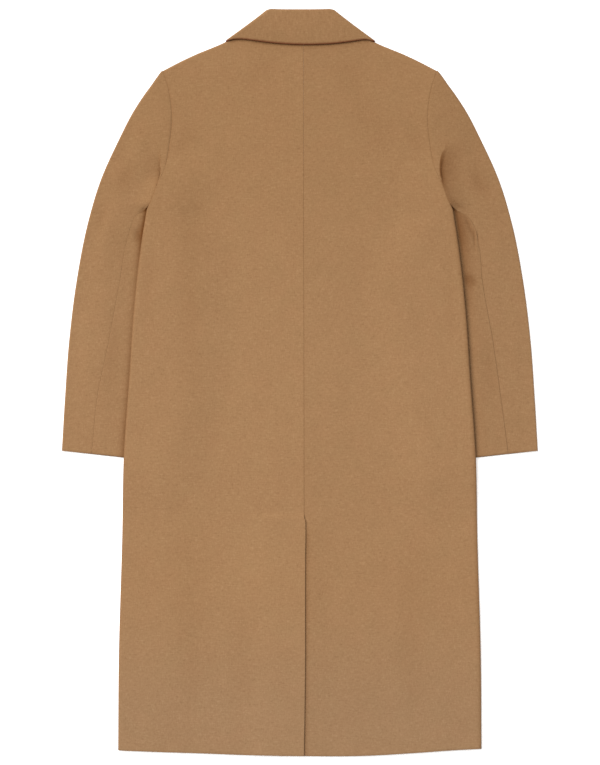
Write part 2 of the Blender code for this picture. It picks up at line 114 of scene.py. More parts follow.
# Collar
COLLAR_ROLL_BACK = 0.002
COLLAR_ROLL_FRONT = 0.0012
FOLD_LEAD = 0.0012
COLLAR_TOP = 0.0047
COLLAR_SHOULDER = 0.005
COLLAR_TURN = 0.32
COLLAR_CROWN = 0.001
COLLAR_STANDS_OFF = 0.0014
COLLAR_SAG = 0.0012
COLLAR_EDGE_ROLL = (0.0012, 0.0035)
NECK_SEAM_INSET = 0.005
NECK_SEAM_BULGE = 0.0035
FOLD_Z_BACK = 0.0124
EDGE_Z_BACK = BACK_Z + CLOTH + REST_GAP
FOLD_CORNER = {"left": (0.047, 0.0032), "right": (0.0492, 0.0032)}
EDGE_CORNER = (0.1118, 0.0515)
EDGE_LIFT = 0.0022
TIP_PULL = {"left": (0.0036, 0.0046), "right": (0.0058, 0.0052)}
GORGE_FOLD = (0.045, 0.083)
COLLAR_TIP = (0.115, 0.096)
STAND_CLEAR = 0.0003

# Sections in each half of the collar: along the back, round the turn at the corner, along the front leaf
BACK_SECTIONS = 24
TURN_SECTIONS = 15
LEAF_SECTIONS = 10

# Seams: how deep and wide the cloth turns in along each
CENTRE_SEAM = (0.0001, 0.002)
ARMHOLE_SEAM = (0.0005, 0.002)
SLEEVE_SEAM = (0.0001, 0.002)
NO_SEAM = (0.0, 1.0)

# Each piece as it is cut, flat size and area, then the look of its cloth: shade, turn of the nap, grain shift
PIECES = {
    # shade is partly painted shade: the right back and the right sleeves are darker, as light from the left
    # leaves them
    "front_left": ((0.31, 1.15), 0.307, 0.98, 0.0, 0.43),
    "front_right": ((0.31, 1.15), 0.307, 0.98, 0.0, 0.63),
    "lapel_left": ((0.118, 0.19), 0.0108, 0.98, -0.3, 0.71),
    "lapel_right": ((0.118, 0.19), 0.0108, 0.98, 0.3, 0.71),
    "back_left": ((0.291, 1.153), 0.306, 1.0, 0.0, 0.11),
    "back_right": ((0.325, 1.154), 0.306, 0.97, 0.0, 0.37),
    "collar_stand": ((0.33, 0.036), 0.0078, 0.95, 1.57, 0.91),
    "collar_fall": ((0.385, 0.072), 0.0203, 0.978, 1.57, 0.83),
    "top_sleeve_left": ((0.262, 0.64), 0.0945, 0.977, -0.14, 0.14),
    "top_sleeve_right": ((0.262, 0.64), 0.0945, 0.925, 0.14, 0.24),
    "under_sleeve_left": ((0.215, 0.405), 0.0575, 0.983, -0.1, 0.22),
    "under_sleeve_right": ((0.215, 0.405), 0.0575, 0.929, 0.1, 0.32)}

# Colours of the wool and its fibres, tints of its spots, and tints of painted light and shade
WOOL_DARK = (0.259, 0.1365, 0.0594)
WOOL_LIGHT = (0.348, 0.194, 0.0904)
LIGHT_FIBRE = (0.42, 0.26, 0.14)
DARK_FIBRE = (0.17, 0.085, 0.035)
FIBRE_SHOWS = 0.15
ROSY_TINT = (1.02, 0.992, 0.995, 1.0)
OLIVE_TINT = (0.985, 1.006, 0.995, 1.0)
# Painted shade: the coat's top is darker; painted light: the hem is cooler and bluer
TOP_PAINTED_SHADE = (0.948, 0.93, 0.892, 1.0)
TOP_PAINTED_SHADE_RAMP = (0.02, 0.44)
HEM_PAINTED_LIGHT = (0.955, 1.005, 1.1, 1.0)
HEM_PAINTED_LIGHT_RAMP = (-0.3, -0.56)
# Painted shade: dark tints multiplied into the wool as far as each point's painted shade goes; the collar's
# is warmer
PAINTED_SHADE_TINT = (0.4, 0.215, 0.02, 1.0)
COLLAR_PAINTED_SHADE_TINT = (0.46, 0.08, 0.0, 1.0)

# Floor, light, camera and picture
FLOOR_SIZE = 60.0
FLOOR_Z = -0.0006
WHITE = (1.0, 1.0, 1.0, 1.0)
PALE_PAPER = (0.97, 0.97, 0.97, 1.0)
DULL_PAPER = (0.94, 0.94, 0.94, 1.0)
PAPER_GLOW = 0.4
LAMP_POWER = 3.45
LAMP_WIDTH = 48
LAMP_FROM = (-0.44, 0.38, 0.81)
SURROUNDINGS = 0.42
PHOTO_WIDTH = 0.9597
CAMERA_PLACE = (0.0003, -0.0003, 6.0)
CAMERA_SEES = 20.0
SENSOR = 36.0


def table(columns, *rows):
    return dict(zip(columns.split(), np.array(rows).T))


# Outlines and seams: distance down from the collar's top, distance out from the middle
SHOULDER = table(
    "out down",
    (0.082, 0.0388), (0.11, 0.0486), (0.1248, 0.0556), (0.1686, 0.0737), (0.2019, 0.0898), SHOULDER_TIP)
ARMHOLE = table(
    "down out",
    SHOULDER_TIP[::-1], (0.1302, 0.2098), (0.1702, 0.2045), (0.2182, 0.2084), (0.2582, 0.2172),
    (0.274, 0.2242), (0.2902, 0.2316), (0.3045, 0.2364), SIDE_SEAM_TOP)
BODY_SIDE = table(
    "down out",
    SIDE_SEAM_TOP, (0.3462, 0.249), (0.3942, 0.256), (0.4822, 0.2655), (0.5942, 0.2731), (0.7094, 0.2812),
    (0.8502, 0.2844), (1.0422, 0.2898), (1.183, 0.2908))
SLEEVE_OUTER = table(
    "down out",
    SHOULDER_TIP[::-1], (0.101, 0.2218), (0.1042, 0.2249), (0.1074, 0.2274), (0.1138, 0.232), (0.122, 0.2376),
    (0.1302, 0.2438), (0.1622, 0.2652), (0.2102, 0.2901), (0.2742, 0.3188), (0.3382, 0.3382),
    (0.4342, 0.3572), (0.5302, 0.3692), (0.6262, 0.3762), (0.7072, 0.381))
BACK_SLEEVE_SEAM = table(
    "down left right",
    (0.311, 0.2389, 0.2389), (0.3222, 0.2496, 0.2512), (0.3302, 0.2616, 0.2656), (0.3462, 0.2696, 0.2784),
    (0.3702, 0.2768, 0.2853), (0.4342, 0.288, 0.292), (0.5302, 0.3056, 0.3088), (0.6262, 0.3248, 0.3224),
    (0.711, 0.3328, 0.3336))
FRONT_SLEEVE_SEAM = table(
    "down out",
    (0.311, 0.2389), (0.3222, 0.251), (0.3342, 0.261), (0.36, 0.268), (0.4262, 0.26), (0.4982, 0.254),
    (0.5942, 0.26), (0.7218, 0.28))
INNER_FOLD = ((0.3782, 0.211), (0.4262, 0.197), (0.4982, 0.195), (0.5942, 0.207), (0.7218, 0.237))
HIDDEN_FOLD = table("down out", (0.3254, 0.247), (0.331, 0.245), (0.34, 0.24), (0.354, 0.226), *INNER_FOLD)
CUFF = table("out down", (0.237, 0.7218), (0.282, 0.7182), (0.3332, 0.7116), (0.381, 0.7072))
HEM = table(
    "x down",
    (-0.291, 1.1864), (-0.28, 1.1869), (-0.24, 1.1885), (-0.16, 1.1911), (-0.08, 1.194), (0.0, 1.1954),
    (0.08, 1.1956), (0.12, 1.1944), (0.16, 1.1921), (0.2, 1.1895), (0.24, 1.1866), (0.28, 1.1844),
    (0.291, 1.1838))
UNDER_FOLD = table(
    "down out",
    (0.311, 0.235), (0.3206, 0.2375), (0.3262, 0.2385), (0.333, 0.237), (0.342, 0.232), (0.354, 0.2235),
    *INNER_FOLD)
VENT_EDGE = table(
    "down x",
    (0.815, 0.0075), (0.8165, 0.0082), (0.8185, 0.0089), (0.826, 0.0092), (0.872, 0.0089), (0.957, 0.0087),
    (1.045, 0.0087), (1.13, 0.0078), (1.195, 0.0067))
COLLAR_EDGE = table(
    "x down",
    (-0.1118, 0.0493), (-0.1056, 0.0482), (-0.095, 0.0479), (-0.0725, 0.0504), (-0.05, 0.0534),
    (-0.025, 0.0557), (0.0, 0.0568), (0.025, 0.0567), (0.05, 0.0554), (0.0725, 0.053), (0.095, 0.0498),
    (0.1056, 0.0486), (0.1118, 0.0493))
FRONT_NECK = table("down out", (0.0405, 0.082), (0.056, 0.068), (0.083, 0.05))
TURNED_FRONT = table(
    "down out",
    (0.03, 0.12), (0.098, 0.119), (0.133, 0.121), (0.17, 0.101), (0.21, 0.079), (0.255, 0.037),
    (0.274, 0.009), (0.3, 0.009))
LAPEL_EDGE = table("down out", (0.1334, 0.118), (0.17, 0.099), (0.21, 0.077), (0.255, 0.035), (0.273, 0.01))
CAP_ROWS = table(
    "armhole outer",
    (0.0997, 0.1006), (0.1025, 0.103), (0.115, 0.107), (0.13, 0.1135), (0.158, 0.132), (0.186, 0.157),
    (0.214, 0.186), (0.242, 0.217), (0.268, 0.247), (0.29, 0.274), (UNDERARM, 0.299))

# How far down the underarm fold ends, and the armhole seam fades beside it and shows again
FADE_ENDS = (0.308, 0.33)
SEAM_FADE = (0.238, 0.264)
SEAM_RETURNS = (0.267, 0.284)

# How dark the painted shade is beside seams and edges, and how far from them it reaches
SEAM_SHADE_REACH = 0.003
CENTRE_SEAM_SHADE = 0.08
ARMHOLE_SHADE = {"back": {"left": 0.25, "right": 0.13}, "sleeve": {"left": 0.02, "right": 0.11}}
UNDERARM_SHADE = {"left": 0.28, "right": 0.4}
SLEEVE_SEAM_SHADE = 0.06
SLEEVE_SEAM_RAMP = (UNDERARM, 0.335)
HIDDEN_SHADE = 0.5
# Painted shade at the body's side edge, lighter at the very edge
SIDE_SHADE = {"left": (0.64, 0.0036), "right": (0.34, 0.009)}
SIDE_EDGE_SHADE = (0.3, 0.002)
# Painted shadow on the right back beside the vent's edge
VENT_SHADE = ((0.31, 0.0075), (0.05, 0.05))
VENT_SHADE_START = -0.001
VENT_SHADE_RAMP = 0.03
# Painted shade on the collar's rolled edge, and painted shadow on the back below it
COLLAR_EDGE_SHADE = 0.004
COLLAR_SHADOW = ((0.52, 0.0052), (0.11, 0.02))
# Painted shadow that the body's edge casts on the sleeve beside it
BODY_SHADE = table(
    "down left right",
    (0.311, 0.94, 0.6), (0.36, 0.94, 0.7), (0.4, 0.56, 0.44), (0.48, 0.36, 0.2), (0.56, 0.39, 0.18),
    (0.66, 0.5, 0.13), (0.73, 0.5, 0.1))
BODY_SHADE_SPAN = {"left": (0.0004, 1.0, 0.0062), "right": (0.0045, 0.05, 0.021)}
BODY_SHADE_TAIL = 0.25
POCKET_SHADE = 0.6
POCKET_SHADE_ENDS = (0.014, 0.04)
POCKET_SHADE_SPAN = (0.002, 0.008)
# Painted shade in the troughs of the creases, darkest at this depth
TROUGH_SHADE = 0.31
DARKEST_TROUGH = 0.0015

# The underarm fold lies some way out from the armhole seam; it begins softly and ends in a small pocket
UNDERARM_FOLD = table(
    "down left right",
    (0.0995, 0.006, 0.006), (0.208, 0.0185, 0.0245), (0.2229, 0.015, 0.0222), (0.2341, 0.0122, 0.0158),
    (0.2501, 0.0082, 0.0098), (0.2661, 0.0026, 0.0044), (0.276, 0.0006, 0.0016), (0.2821, 0.0, 0.0),
    (0.311, 0.0, 0.0))
FOLD_STARTS = {"left": (0.214, 0.258), "right": (0.208, 0.246)}
CAP_FALL = 0.06
CAP_TURN = 0.5
FOLD_WALL = {"left": (0.005, 0.0006), "right": (0.0075, 0.0026)}
FOLD_TIGHTENS = (0.222, 0.262)
FOLD_DROP = {"left": 0.85, "right": 0.4}
FOLD_REACH = 0.045
FOLD_HOLLOW = {"left": 0.001, "right": 0.0}
FOLD_RIDGE = {"left": 0.0004, "right": 0.0014}
RIDGE_REACH = 0.024
# Painted shade in the underarm fold: how wide and dark it spreads, how dark its core is, and the core's reach
FOLD_SHADE = {"left": (0.08, 0.27, 0.007), "right": (0.46, 0.3, 0.0098)}
FOLD_SHADE_REACH = 0.036
FOLD_SHADE_START = 0.0004
FOLD_SHADE_FADES = (0.262, 0.3)
FOLD_SHADE_LOSS = 0.5
FOLD_SHADE_ENDS = (UNDERARM, 0.326)
LOW_CLIMB_MARGIN = 0.001
POCKET = 0.005
POCKET_ENDS = (0.012, 0.036)
POCKET_COVER = 0.006

# The long soft crest of each sleeve: its height, and how far from the body it lies
CREST = {"left": (0.0022, 0.05), "right": (0.0024, 0.016)}
CREST_STARTS = (0.19, 0.26)
CREST_SETTLES = (0.56, 0.7)
CREST_LOSS = 0.6
CREST_MARGINS = (0.002, 0.004)

# Long soft waves of the back, with hollows between: where each crest lies, how wide and high it is
WAVES_START = (0.22, 0.52)
WAVE_MARGIN = 0.04
HOLLOW = 0.0004
BACK_WAVES = table(
    "out width rise",
    (-0.06, 0.05, 0.0004), (0.085, 0.055, 0.00035), (-0.225, 0.045, 0.0003), (0.2, 0.05, 0.0003))

# The faint rise and fall of heavy cloth that has been pressed by hand: its height, and its waves
UNEVENNESS = 0.00006
UNEVEN_WAVES = ((31, 9, 0.3), (-17, 23, 1.9), (47, -29, 4.1), (12, 61, 2.6), (-71, 37, 5.2), (90, 74, 0.9))

# Creases: from one place to another, how far the middle bows aside, how wide, and how high (a ridge) or deep
CREASE = "x0 down0 x1 down1 bow width rise"
CREASE_TAPER = 1.3
BACK_CREASES = table(
    CREASE,
    (-0.17, 0.17, -0.206, 0.25, 0.004, 0.012, -0.0003), (-0.15, 0.215, -0.222, 0.305, -0.006, 0.015, 0.0003),
    (0.168, 0.16, 0.204, 0.246, -0.005, 0.013, -0.0003), (0.15, 0.21, 0.22, 0.3, 0.005, 0.014, 0.0003),
    (-0.176, 0.13, -0.178, 0.7, 0.002, 0.02, -0.0004), (0.072, 0.105, 0.158, 0.24, -0.006, 0.022, -0.0003),
    (-0.04, 0.56, -0.052, 0.98, 0.005, 0.018, 0.0003), (0.052, 0.5, 0.06, 0.9, -0.004, 0.016, 0.0003),
    (-0.178, 0.76, -0.186, 1.15, 0.006, 0.024, -0.0003), (0.182, 0.82, 0.19, 1.18, -0.006, 0.024, -0.0003),
    (-0.09, 0.9, -0.098, 1.19, 0.004, 0.018, -0.0003), (0.105, 0.88, 0.112, 1.19, 0.005, 0.02, 0.0002),
    (-0.236, 0.36, -0.25, 0.52, 0.003, 0.01, -0.0003), (0.234, 0.37, 0.252, 0.56, -0.003, 0.011, -0.0003),
    (-0.03, 0.075, -0.11, 0.12, 0.006, 0.016, -0.0003), (0.045, 0.078, 0.125, 0.118, -0.006, 0.015, -0.0003))
FRONT_CREASES = table(
    CREASE,
    (-0.11, 0.16, -0.19, 0.25, 0.006, 0.014, 0.0005), (0.115, 0.17, 0.195, 0.262, -0.006, 0.013, 0.0005),
    (-0.09, 0.34, -0.1, 0.7, 0.008, 0.018, 0.0006), (0.095, 0.4, 0.088, 0.78, -0.007, 0.018, 0.0006),
    (-0.18, 0.85, -0.19, 1.15, 0.006, 0.02, 0.0005), (0.15, 0.82, 0.16, 1.16, 0.006, 0.02, 0.0006))
SLEEVE_CREASES = {
    "left": table(
        CREASE,
        (0.256, 0.346, 0.261, 0.378, 0.001, 0.005, -0.0016),
        (0.245, 0.316, 0.256, 0.33, 0.001, 0.003, -0.0012), (0.3, 0.33, 0.318, 0.43, 0.006, 0.012, 0.0008),
        (0.308, 0.3, 0.32, 0.37, 0.004, 0.008, -0.0006), (0.27, 0.24, 0.301, 0.3, -0.006, 0.011, -0.0007),
        (0.33, 0.47, 0.34, 0.62, 0.004, 0.014, 0.0006), (0.295, 0.48, 0.312, 0.64, -0.004, 0.01, -0.0004),
        (0.246, 0.18, 0.27, 0.24, -0.004, 0.012, 0.0006)),
    "right": table(
        CREASE,
        (0.264, 0.32, 0.288, 0.378, -0.004, 0.003, -0.0011),
        (0.2795, 0.345, 0.2815, 0.392, -0.001, 0.0016, -0.0012),
        (0.24, 0.299, 0.267, 0.322, -0.003, 0.003, -0.0008),
        (0.26, 0.425, 0.286, 0.446, 0.001, 0.008, -0.0016),
        (0.2855, 0.352, 0.287, 0.388, -0.001, 0.0014, -0.001),
        (0.2825, 0.345, 0.2845, 0.396, -0.001, 0.002, 0.0007),
        (0.264, 0.4, 0.272, 0.5, 0.002, 0.009, -0.0005), (0.302, 0.32, 0.32, 0.43, 0.006, 0.012, 0.0008),
        (0.276, 0.24, 0.306, 0.31, -0.006, 0.01, -0.0008), (0.336, 0.45, 0.346, 0.61, 0.005, 0.013, 0.0006),
        (0.301, 0.5, 0.316, 0.66, -0.004, 0.011, -0.0004), (0.25, 0.17, 0.276, 0.24, -0.005, 0.012, 0.0006))}

# Columns and rows of points: fine at the seams and edges, even between
BODY_SPACING = np.concatenate((
    (0.0, 0.004, 0.008, 0.013, 0.02, 0.03), np.linspace(0.045, 0.98, 68), (0.99, 1.0)))
FRONT_SPACING = np.concatenate(((0.0, 0.006, 0.014, 0.026), np.linspace(0.05, 1.0, 42)))
SLEEVE_SPACING = np.concatenate(((0.0, 0.01, 0.024, 0.042, 0.062), np.linspace(0.085, 1.0, 34)))
UNDER_SPACING = np.concatenate(((0.0, 0.012, 0.028, 0.05), np.linspace(0.075, 1.0, 44)))
BACK_STEP = 0.0042
FRONT_STEP = 0.0075
CAP_TOP = CAP_ROWS["armhole"][0]
CAP_STEPS = np.concatenate((
    (CAP_TOP, CAP_TOP + 0.0006, CAP_TOP + 0.0016), np.linspace(CAP_TOP + 0.0028, 0.24, 36),
    np.linspace(0.242, UNDERARM, 30)))
SEAM_STEPS = np.concatenate((np.linspace(0.0, 0.09, 13)[1:], np.linspace(0.1, 1.0, 88)))
UNDER_SLEEVE_START = 0.006

# Columns across the underarm fold: where it is looked for, and the most of a row that each part may take
FOLD_SEARCH = np.linspace(0.0, 0.4, 321)
FOLD_CLEAR = 0.0016
FOLD_CLEAR_SHARE = 0.15
FOLD_WALL_SHARE = 0.2
BEFORE_FOLD_SHARES = (0.5, 0.6)
TURN_SHARE = 0.6


def read(rows, column, at):
    """The smooth value of one column at places along the table's first column."""
    places = next(iter(rows.values()))
    values = rows[column]
    slopes = np.gradient(values, places)
    i = np.clip(np.searchsorted(places, at) - 1, 0, len(places) - 2)
    step = places[i + 1] - places[i]
    t = np.clip((at - places[i]) / step, 0.0, 1.0)
    return (values[i] * (1 + 2 * t) * (1 - t) ** 2 + values[i + 1] * t * t * (3 - 2 * t)
            + step * (slopes[i] * t * (1 - t) ** 2 - slopes[i + 1] * t * t * (1 - t)))


def ease(t):
    """A soft step from 0 to 1."""
    t = np.clip(t, 0.0, 1.0)
    return t * t * (3 - 2 * t)


def ramp(at, start, end):
    """A soft step from 0 at the start to 1 at the end."""
    return ease((at - start) / (end - start))


def mix(a, b, t):
    return a + (b - a) * t


def line(start, end, t):
    """Places out and down along the straight line between two such places."""
    return mix(start[0], end[0], t), mix(start[1], end[1], t)


def place(side, out, down, z):
    """Points in the frame, from places on the coat and their heights."""
    out, down, z = np.broadcast_arrays(out, down, z)
    return np.stack((side * out, LENGTH / 2 - down, z), axis=-1)


def body_edge(down):
    """The armhole seam and below it the side seam."""
    return np.where(down < ARMHOLE["down"][-1], read(ARMHOLE, "out", down), read(BODY_SIDE, "out", down))


def underarm_rise(down):
    """How far the armhole seam has climbed onto the sleeve that lies under the body."""
    return SLEEVE_STACK * ramp(down, *UNDERARM_CLIMB)


def over_sleeve(out, down):
    """The lift of the body where the sleeve's inner half lies under it."""
    hidden = np.where(down > HIDDEN_FOLD["down"][0], read(HIDDEN_FOLD, "out", down), body_edge(down))
    top = hidden - HIDDEN_MARGIN
    return underarm_rise(down) * ramp(out, top - LIFT_RAMP, top) * (1 - ramp(down, *PAST_CUFF))


def over_lapel(side, out, down):
    """The lift of a front over its lapel and the collar, and of the left front over the right one."""
    lapel_end = read(TURNED_FRONT, "out", down) + LAPEL_MARGIN
    lift = 1 - ramp(out, lapel_end, lapel_end + LAP_RAMP)
    if side > 0:
        return LAP_LIFT * lift * (1 - ramp(down, *RIGHT_LAPEL_END))
    lap_end = LAP + LAP_MARGIN
    lap = 1 - ramp(out, lap_end, lap_end + LAP_RAMP)
    return LAP_LIFT * np.where(down < LAP_STARTS[0], np.maximum(lift, lap), lap)


def creases(rows, x, down):
    """Troughs and ridges that fade towards their ends."""
    total = 0.0
    for x0, down0, x1, down1, bow, width, rise in zip(*rows.values()):
        length = math.hypot(x1 - x0, down1 - down0)
        ahead_x, ahead_down = (x1 - x0) / length, (down1 - down0) / length
        along = np.clip(((x - x0) * ahead_x + (down - down0) * ahead_down) / length, 0.0, 1.0)
        aside = (x - x0) * ahead_down - (down - down0) * ahead_x - bow * 4 * along * (1 - along)
        total = total + rise * np.sin(math.pi * along) ** CREASE_TAPER * np.exp(-(aside / width) ** 2)
    return total


def trough_shade(rows, x, down):
    """Painted shade along the troughs."""
    return TROUGH_SHADE * np.clip(-creases(rows, x, down) / DARKEST_TROUGH, 0.0, 1.0)


def unevenness(x, down):
    """The rise and fall of cloth that has been pressed by hand."""
    return UNEVENNESS * sum(np.sin(a * x + b * down + shift) for a, b, shift in UNEVEN_WAVES)


def armhole_shows(down):
    """The armhole seam fades where the underarm fold runs beside it and shows again below."""
    return 1 - ramp(down, *SEAM_FADE) + ramp(down, *SEAM_RETURNS)


def seam_dip(distance, seam):
    """How the cloth turns in towards a seam."""
    depth, width = seam
    return -depth * np.clip(1 - distance / width, 0.0, 1.0) ** 2


def front_z(side, out, down):
    x = side * out
    flat = FRONT_Z + over_sleeve(out, down) + over_lapel(side, out, down)
    return flat + np.maximum(creases(FRONT_CREASES, x, down), 0.0)


def centre_x(down):
    """The centre back seam, which slants a little as the coat lies."""
    return mix(CENTRE_TOP, CENTRE_VENT, np.clip((down - BACK_NECK_DROP) / VENT_TOP, 0.0, 1.0))


def vent_shape(side, x, down):
    """The left back stands on the underlap of the right one, which dips under it."""
    along = ramp(down, VENT_LIFT_START, VENT_TOP)
    if side < 0:
        lifted = CENTRE_VENT - UNDERLAP - VENT_LIFT_MARGIN
        return VENT_RISE * along * ramp(x, lifted - VENT_LIFT_RAMP, lifted)
    return -VENT_DIP * along * (1 - ramp(x, *VENT_DIP_RAMP))


def back_wave(x, down):
    """Soft folds that run down the back from below the shoulders and flatten at the sides."""
    along = ramp(down, *WAVES_START) * ease((body_edge(down) - abs(x)) / WAVE_MARGIN)
    waves = (rise * np.exp(-((x - out) / width) ** 2) for out, width, rise in zip(*BACK_WAVES.values()))
    return along * (sum(waves) - HOLLOW)


def past_fold(name, down, out):
    """How far out a place lies from the line of the underarm fold."""
    return out - body_edge(np.minimum(down, UNDERARM)) - read(UNDERARM_FOLD, name, down)


def fold_wall(name, down):
    """How wide the fold's side is: it begins wide and soft and then tightens."""
    return mix(*FOLD_WALL[name], ramp(down, *FOLD_TIGHTENS))


def fold_ridge(name, down, out):
    """The cloth stands up a little where it turns down into the underarm fold."""
    near = 1 - ramp(abs(past_fold(name, down, out)), 0.0, RIDGE_REACH)
    return FOLD_RIDGE[name] * near * ramp(down, *FOLD_STARTS[name]) * (1 - ramp(down, *FADE_ENDS))


def back_z(side, out, down):
    x = side * out
    form = BACK_Z + over_sleeve(out, down) + vent_shape(side, x, down) + back_wave(x, down)
    form = form + fold_ridge("left" if side < 0 else "right", down, out)
    return form + creases(BACK_CREASES, x, down) + unevenness(x, down)


def edge_seam_z(side, out, down):
    """The height of the side and shoulder seams, half way down the turned edge."""
    return EDGE_SEAM_Z + over_sleeve(out, down) + EDGE_OVER_LAPEL * over_lapel(side, out, down)


def shoulder_down(out):
    return read(SHOULDER, "down", out)


def back_top(out):
    """The back neckline and the shoulder line."""
    neckline = shoulder_down(NECK_OUT) + BACK_NECK_DROP * (1 - (out / NECK_OUT) ** 2)
    return np.where(out < NECK_OUT, neckline, shoulder_down(out))


def front_edge(down):
    """The front neckline, the roll line and the lap past the middle."""
    roll = mix(ROLL_START[0], ROLL_END[0], (down - ROLL_START[1]) / (ROLL_END[1] - ROLL_START[1]))
    lap = mix(ROLL_END[0], -LAP, ramp(down, *LAP_STARTS))
    below_neck = np.where(down < ROLL_END[1], roll, lap)
    return np.where(down < ROLL_START[1], read(FRONT_NECK, "out", down), below_neck)


def turns(turned):
    """Distance from an edge and how far the turn has gone; where nothing turns the steps are even."""
    angles = np.radians(TURN_STEPS[::-1])
    even = 1 - angles / angles[0]
    return EDGE_TURN * mix(even, 1 - np.sin(angles), turned), 1 - np.cos(angles)


def body_row(side, layer, inner, top, hem_rise, row, spacing, seam):
    """One row of a body panel: row holds the kind, the place and the turn at the shoulder."""
    kind, at, top_turn = row

    def past_neck(out):
        return ramp(out, *NECK_TURN)

    def down_at(out):
        start = top(out) + EDGE_INSET * past_neck(out)
        if kind == "turn":
            even, bent = at
            return start + mix(even, bent, past_neck(out))
        if kind == "upper":
            return mix(start + EDGE_TURN, LEVEL, at)
        hem = read(HEM, "down", side * out) - hem_rise
        return at + (hem - LENGTH) * ramp(at, HEM_CURVE_START, LENGTH)

    neck = inner(shoulder_down(NECK_OUT))
    tip_down = down_at(SHOULDER_TIP[0])
    turned = ramp(tip_down, UNDERARM, SIDE_TURN_END)
    edge = body_edge(tip_down) - CLOTH / 2 * turned
    start = inner(down_at(neck))
    width = edge - start
    distances, angles = turns(turned)
    t = np.concatenate((spacing[:-1] * (1 - EDGE_TURN / width), (1 - distances / width)[::-1]))
    side_turn = np.concatenate((np.zeros(len(spacing) - 1), angles[::-1]))
    out = start + t * width
    top_out = out if kind == "level" else mix(neck, SHOULDER_TIP[0], t)
    down = down_at(top_out)
    own, edge_z = layer(side, out, down), edge_seam_z(side, out, down)
    gap = np.where(own > edge_z, SIDE_GAP / 2, -SIDE_GAP / 2)
    turn = np.maximum(side_turn * turned, top_turn * past_neck(top_out))
    armhole = seam_dip(edge - out, ARMHOLE_SEAM) * (1 - turned) * armhole_shows(down)
    dip = seam_dip(out - start, seam) + armhole
    return place(side, out, down, mix(own + dip, edge_z + gap, turn))


def body_rows(side, layer, inner, top, hem_rise, spacing, step, seam=NO_SEAM):
    """Rows every few millimetres, from the shoulder to the hem."""
    flat = SHOULDER_TIP[1] + EDGE_INSET + EDGE_TURN
    evens, angles = turns(0.0)
    bents, _ = turns(1.0)
    rows = [("turn", distances, turn) for distances, turn in zip(zip(evens, bents), angles)]
    count = round((LEVEL - flat) / step)
    rows += [("upper", k / count, 0.0) for k in range(1, count)]
    levels = (LEVEL, VENT_TOP, UNDERLAP_DOWN, VENT_CURVE_END, LENGTH)
    for start, end in zip(levels, levels[1:]):
        count = max(round((end - start) / step), 2)
        rows += [("level", mix(start, end, k / count), 0.0) for k in range(count)]
    rows += [("level", LENGTH, 0.0)]
    return np.array([body_row(side, layer, inner, top, hem_rise, row, spacing, seam) for row in rows])


def operator(operation, reflected=False):
    """A method that adds a Math node; a reflected one takes its values the other way round."""
    def combine(self, other):
        first, second = (other, self) if reflected else (self, other)
        return self.finish.node("ShaderNodeMath", {"operation": operation}, {0: first, 1: second})
    return combine


class Value:
    """A shader socket that can be added, subtracted, multiplied and compared."""

    def __init__(self, finish, socket):
        self.finish = finish
        self.socket = socket

    __add__ = __radd__ = operator("ADD")
    __sub__ = operator("SUBTRACT")
    __rsub__ = operator("SUBTRACT", reflected=True)
    __mul__ = __rmul__ = operator("MULTIPLY")
    __gt__ = operator("GREATER_THAN")
    __lt__ = operator("LESS_THAN")


class Finish:
    """A material and the nodes that feed its shader."""

    def __init__(self, name):
        self.material = bpy.data.materials.new(name)
        self.material.use_nodes = True
        self.tree = self.material.node_tree
        self.shader = self.tree.nodes["Principled BSDF"]

    def feed(self, node, values):
        """Gives a node's sockets their values or links."""
        for name, value in values.items():
            if isinstance(value, Value):
                self.tree.links.new(value.socket, node.inputs[name])
            else:
                node.inputs[name].default_value = value

    def node(self, kind, settings=None, values=None, output=0):
        """A node of that type: its settings are made first, then the values or links of its sockets."""
        node = self.tree.nodes.new(kind)
        for name, setting in (settings or {}).items():
            setattr(node, name, setting)
        self.feed(node, values or {})
        return Value(self, node.outputs[output])

    def blend(self, factor, first, second, kind="MIX"):
        """Two colours mixed by a factor, or the first one multiplied by the second as far as it says."""
        settings = {"data_type": "RGBA", "blend_type": kind}
        return self.node("ShaderNodeMix", settings, {0: factor, 6: first, 7: second}, 2)

    def soft_step(self, value, start, end):
        """A soft step from 0 at the start to 1 at the end."""
        settings = {"interpolation_type": "SMOOTHSTEP"}
        return self.node("ShaderNodeMapRange", settings, {"Value": value, "From Min": start, "From Max": end})

    def scaled(self, places, factors):
        """Places scaled along each axis: marks grow longer where the factor is under 1."""
        return self.node("ShaderNodeVectorMath", {"operation": "MULTIPLY"}, {0: places, 1: factors})

    def noise(self, places, size, detail=2.0, roughness=0.5):
        """Soft noise from 0 to 1, its marks about size metres wide."""
        values = {"Vector": places, "Scale": 1 / size, "Detail": detail, "Roughness": roughness}
        return self.node("ShaderNodeTexNoise", {}, values)


def tinted(colour, shade):
    return tuple(c * shade for c in colour) + (1.0,)


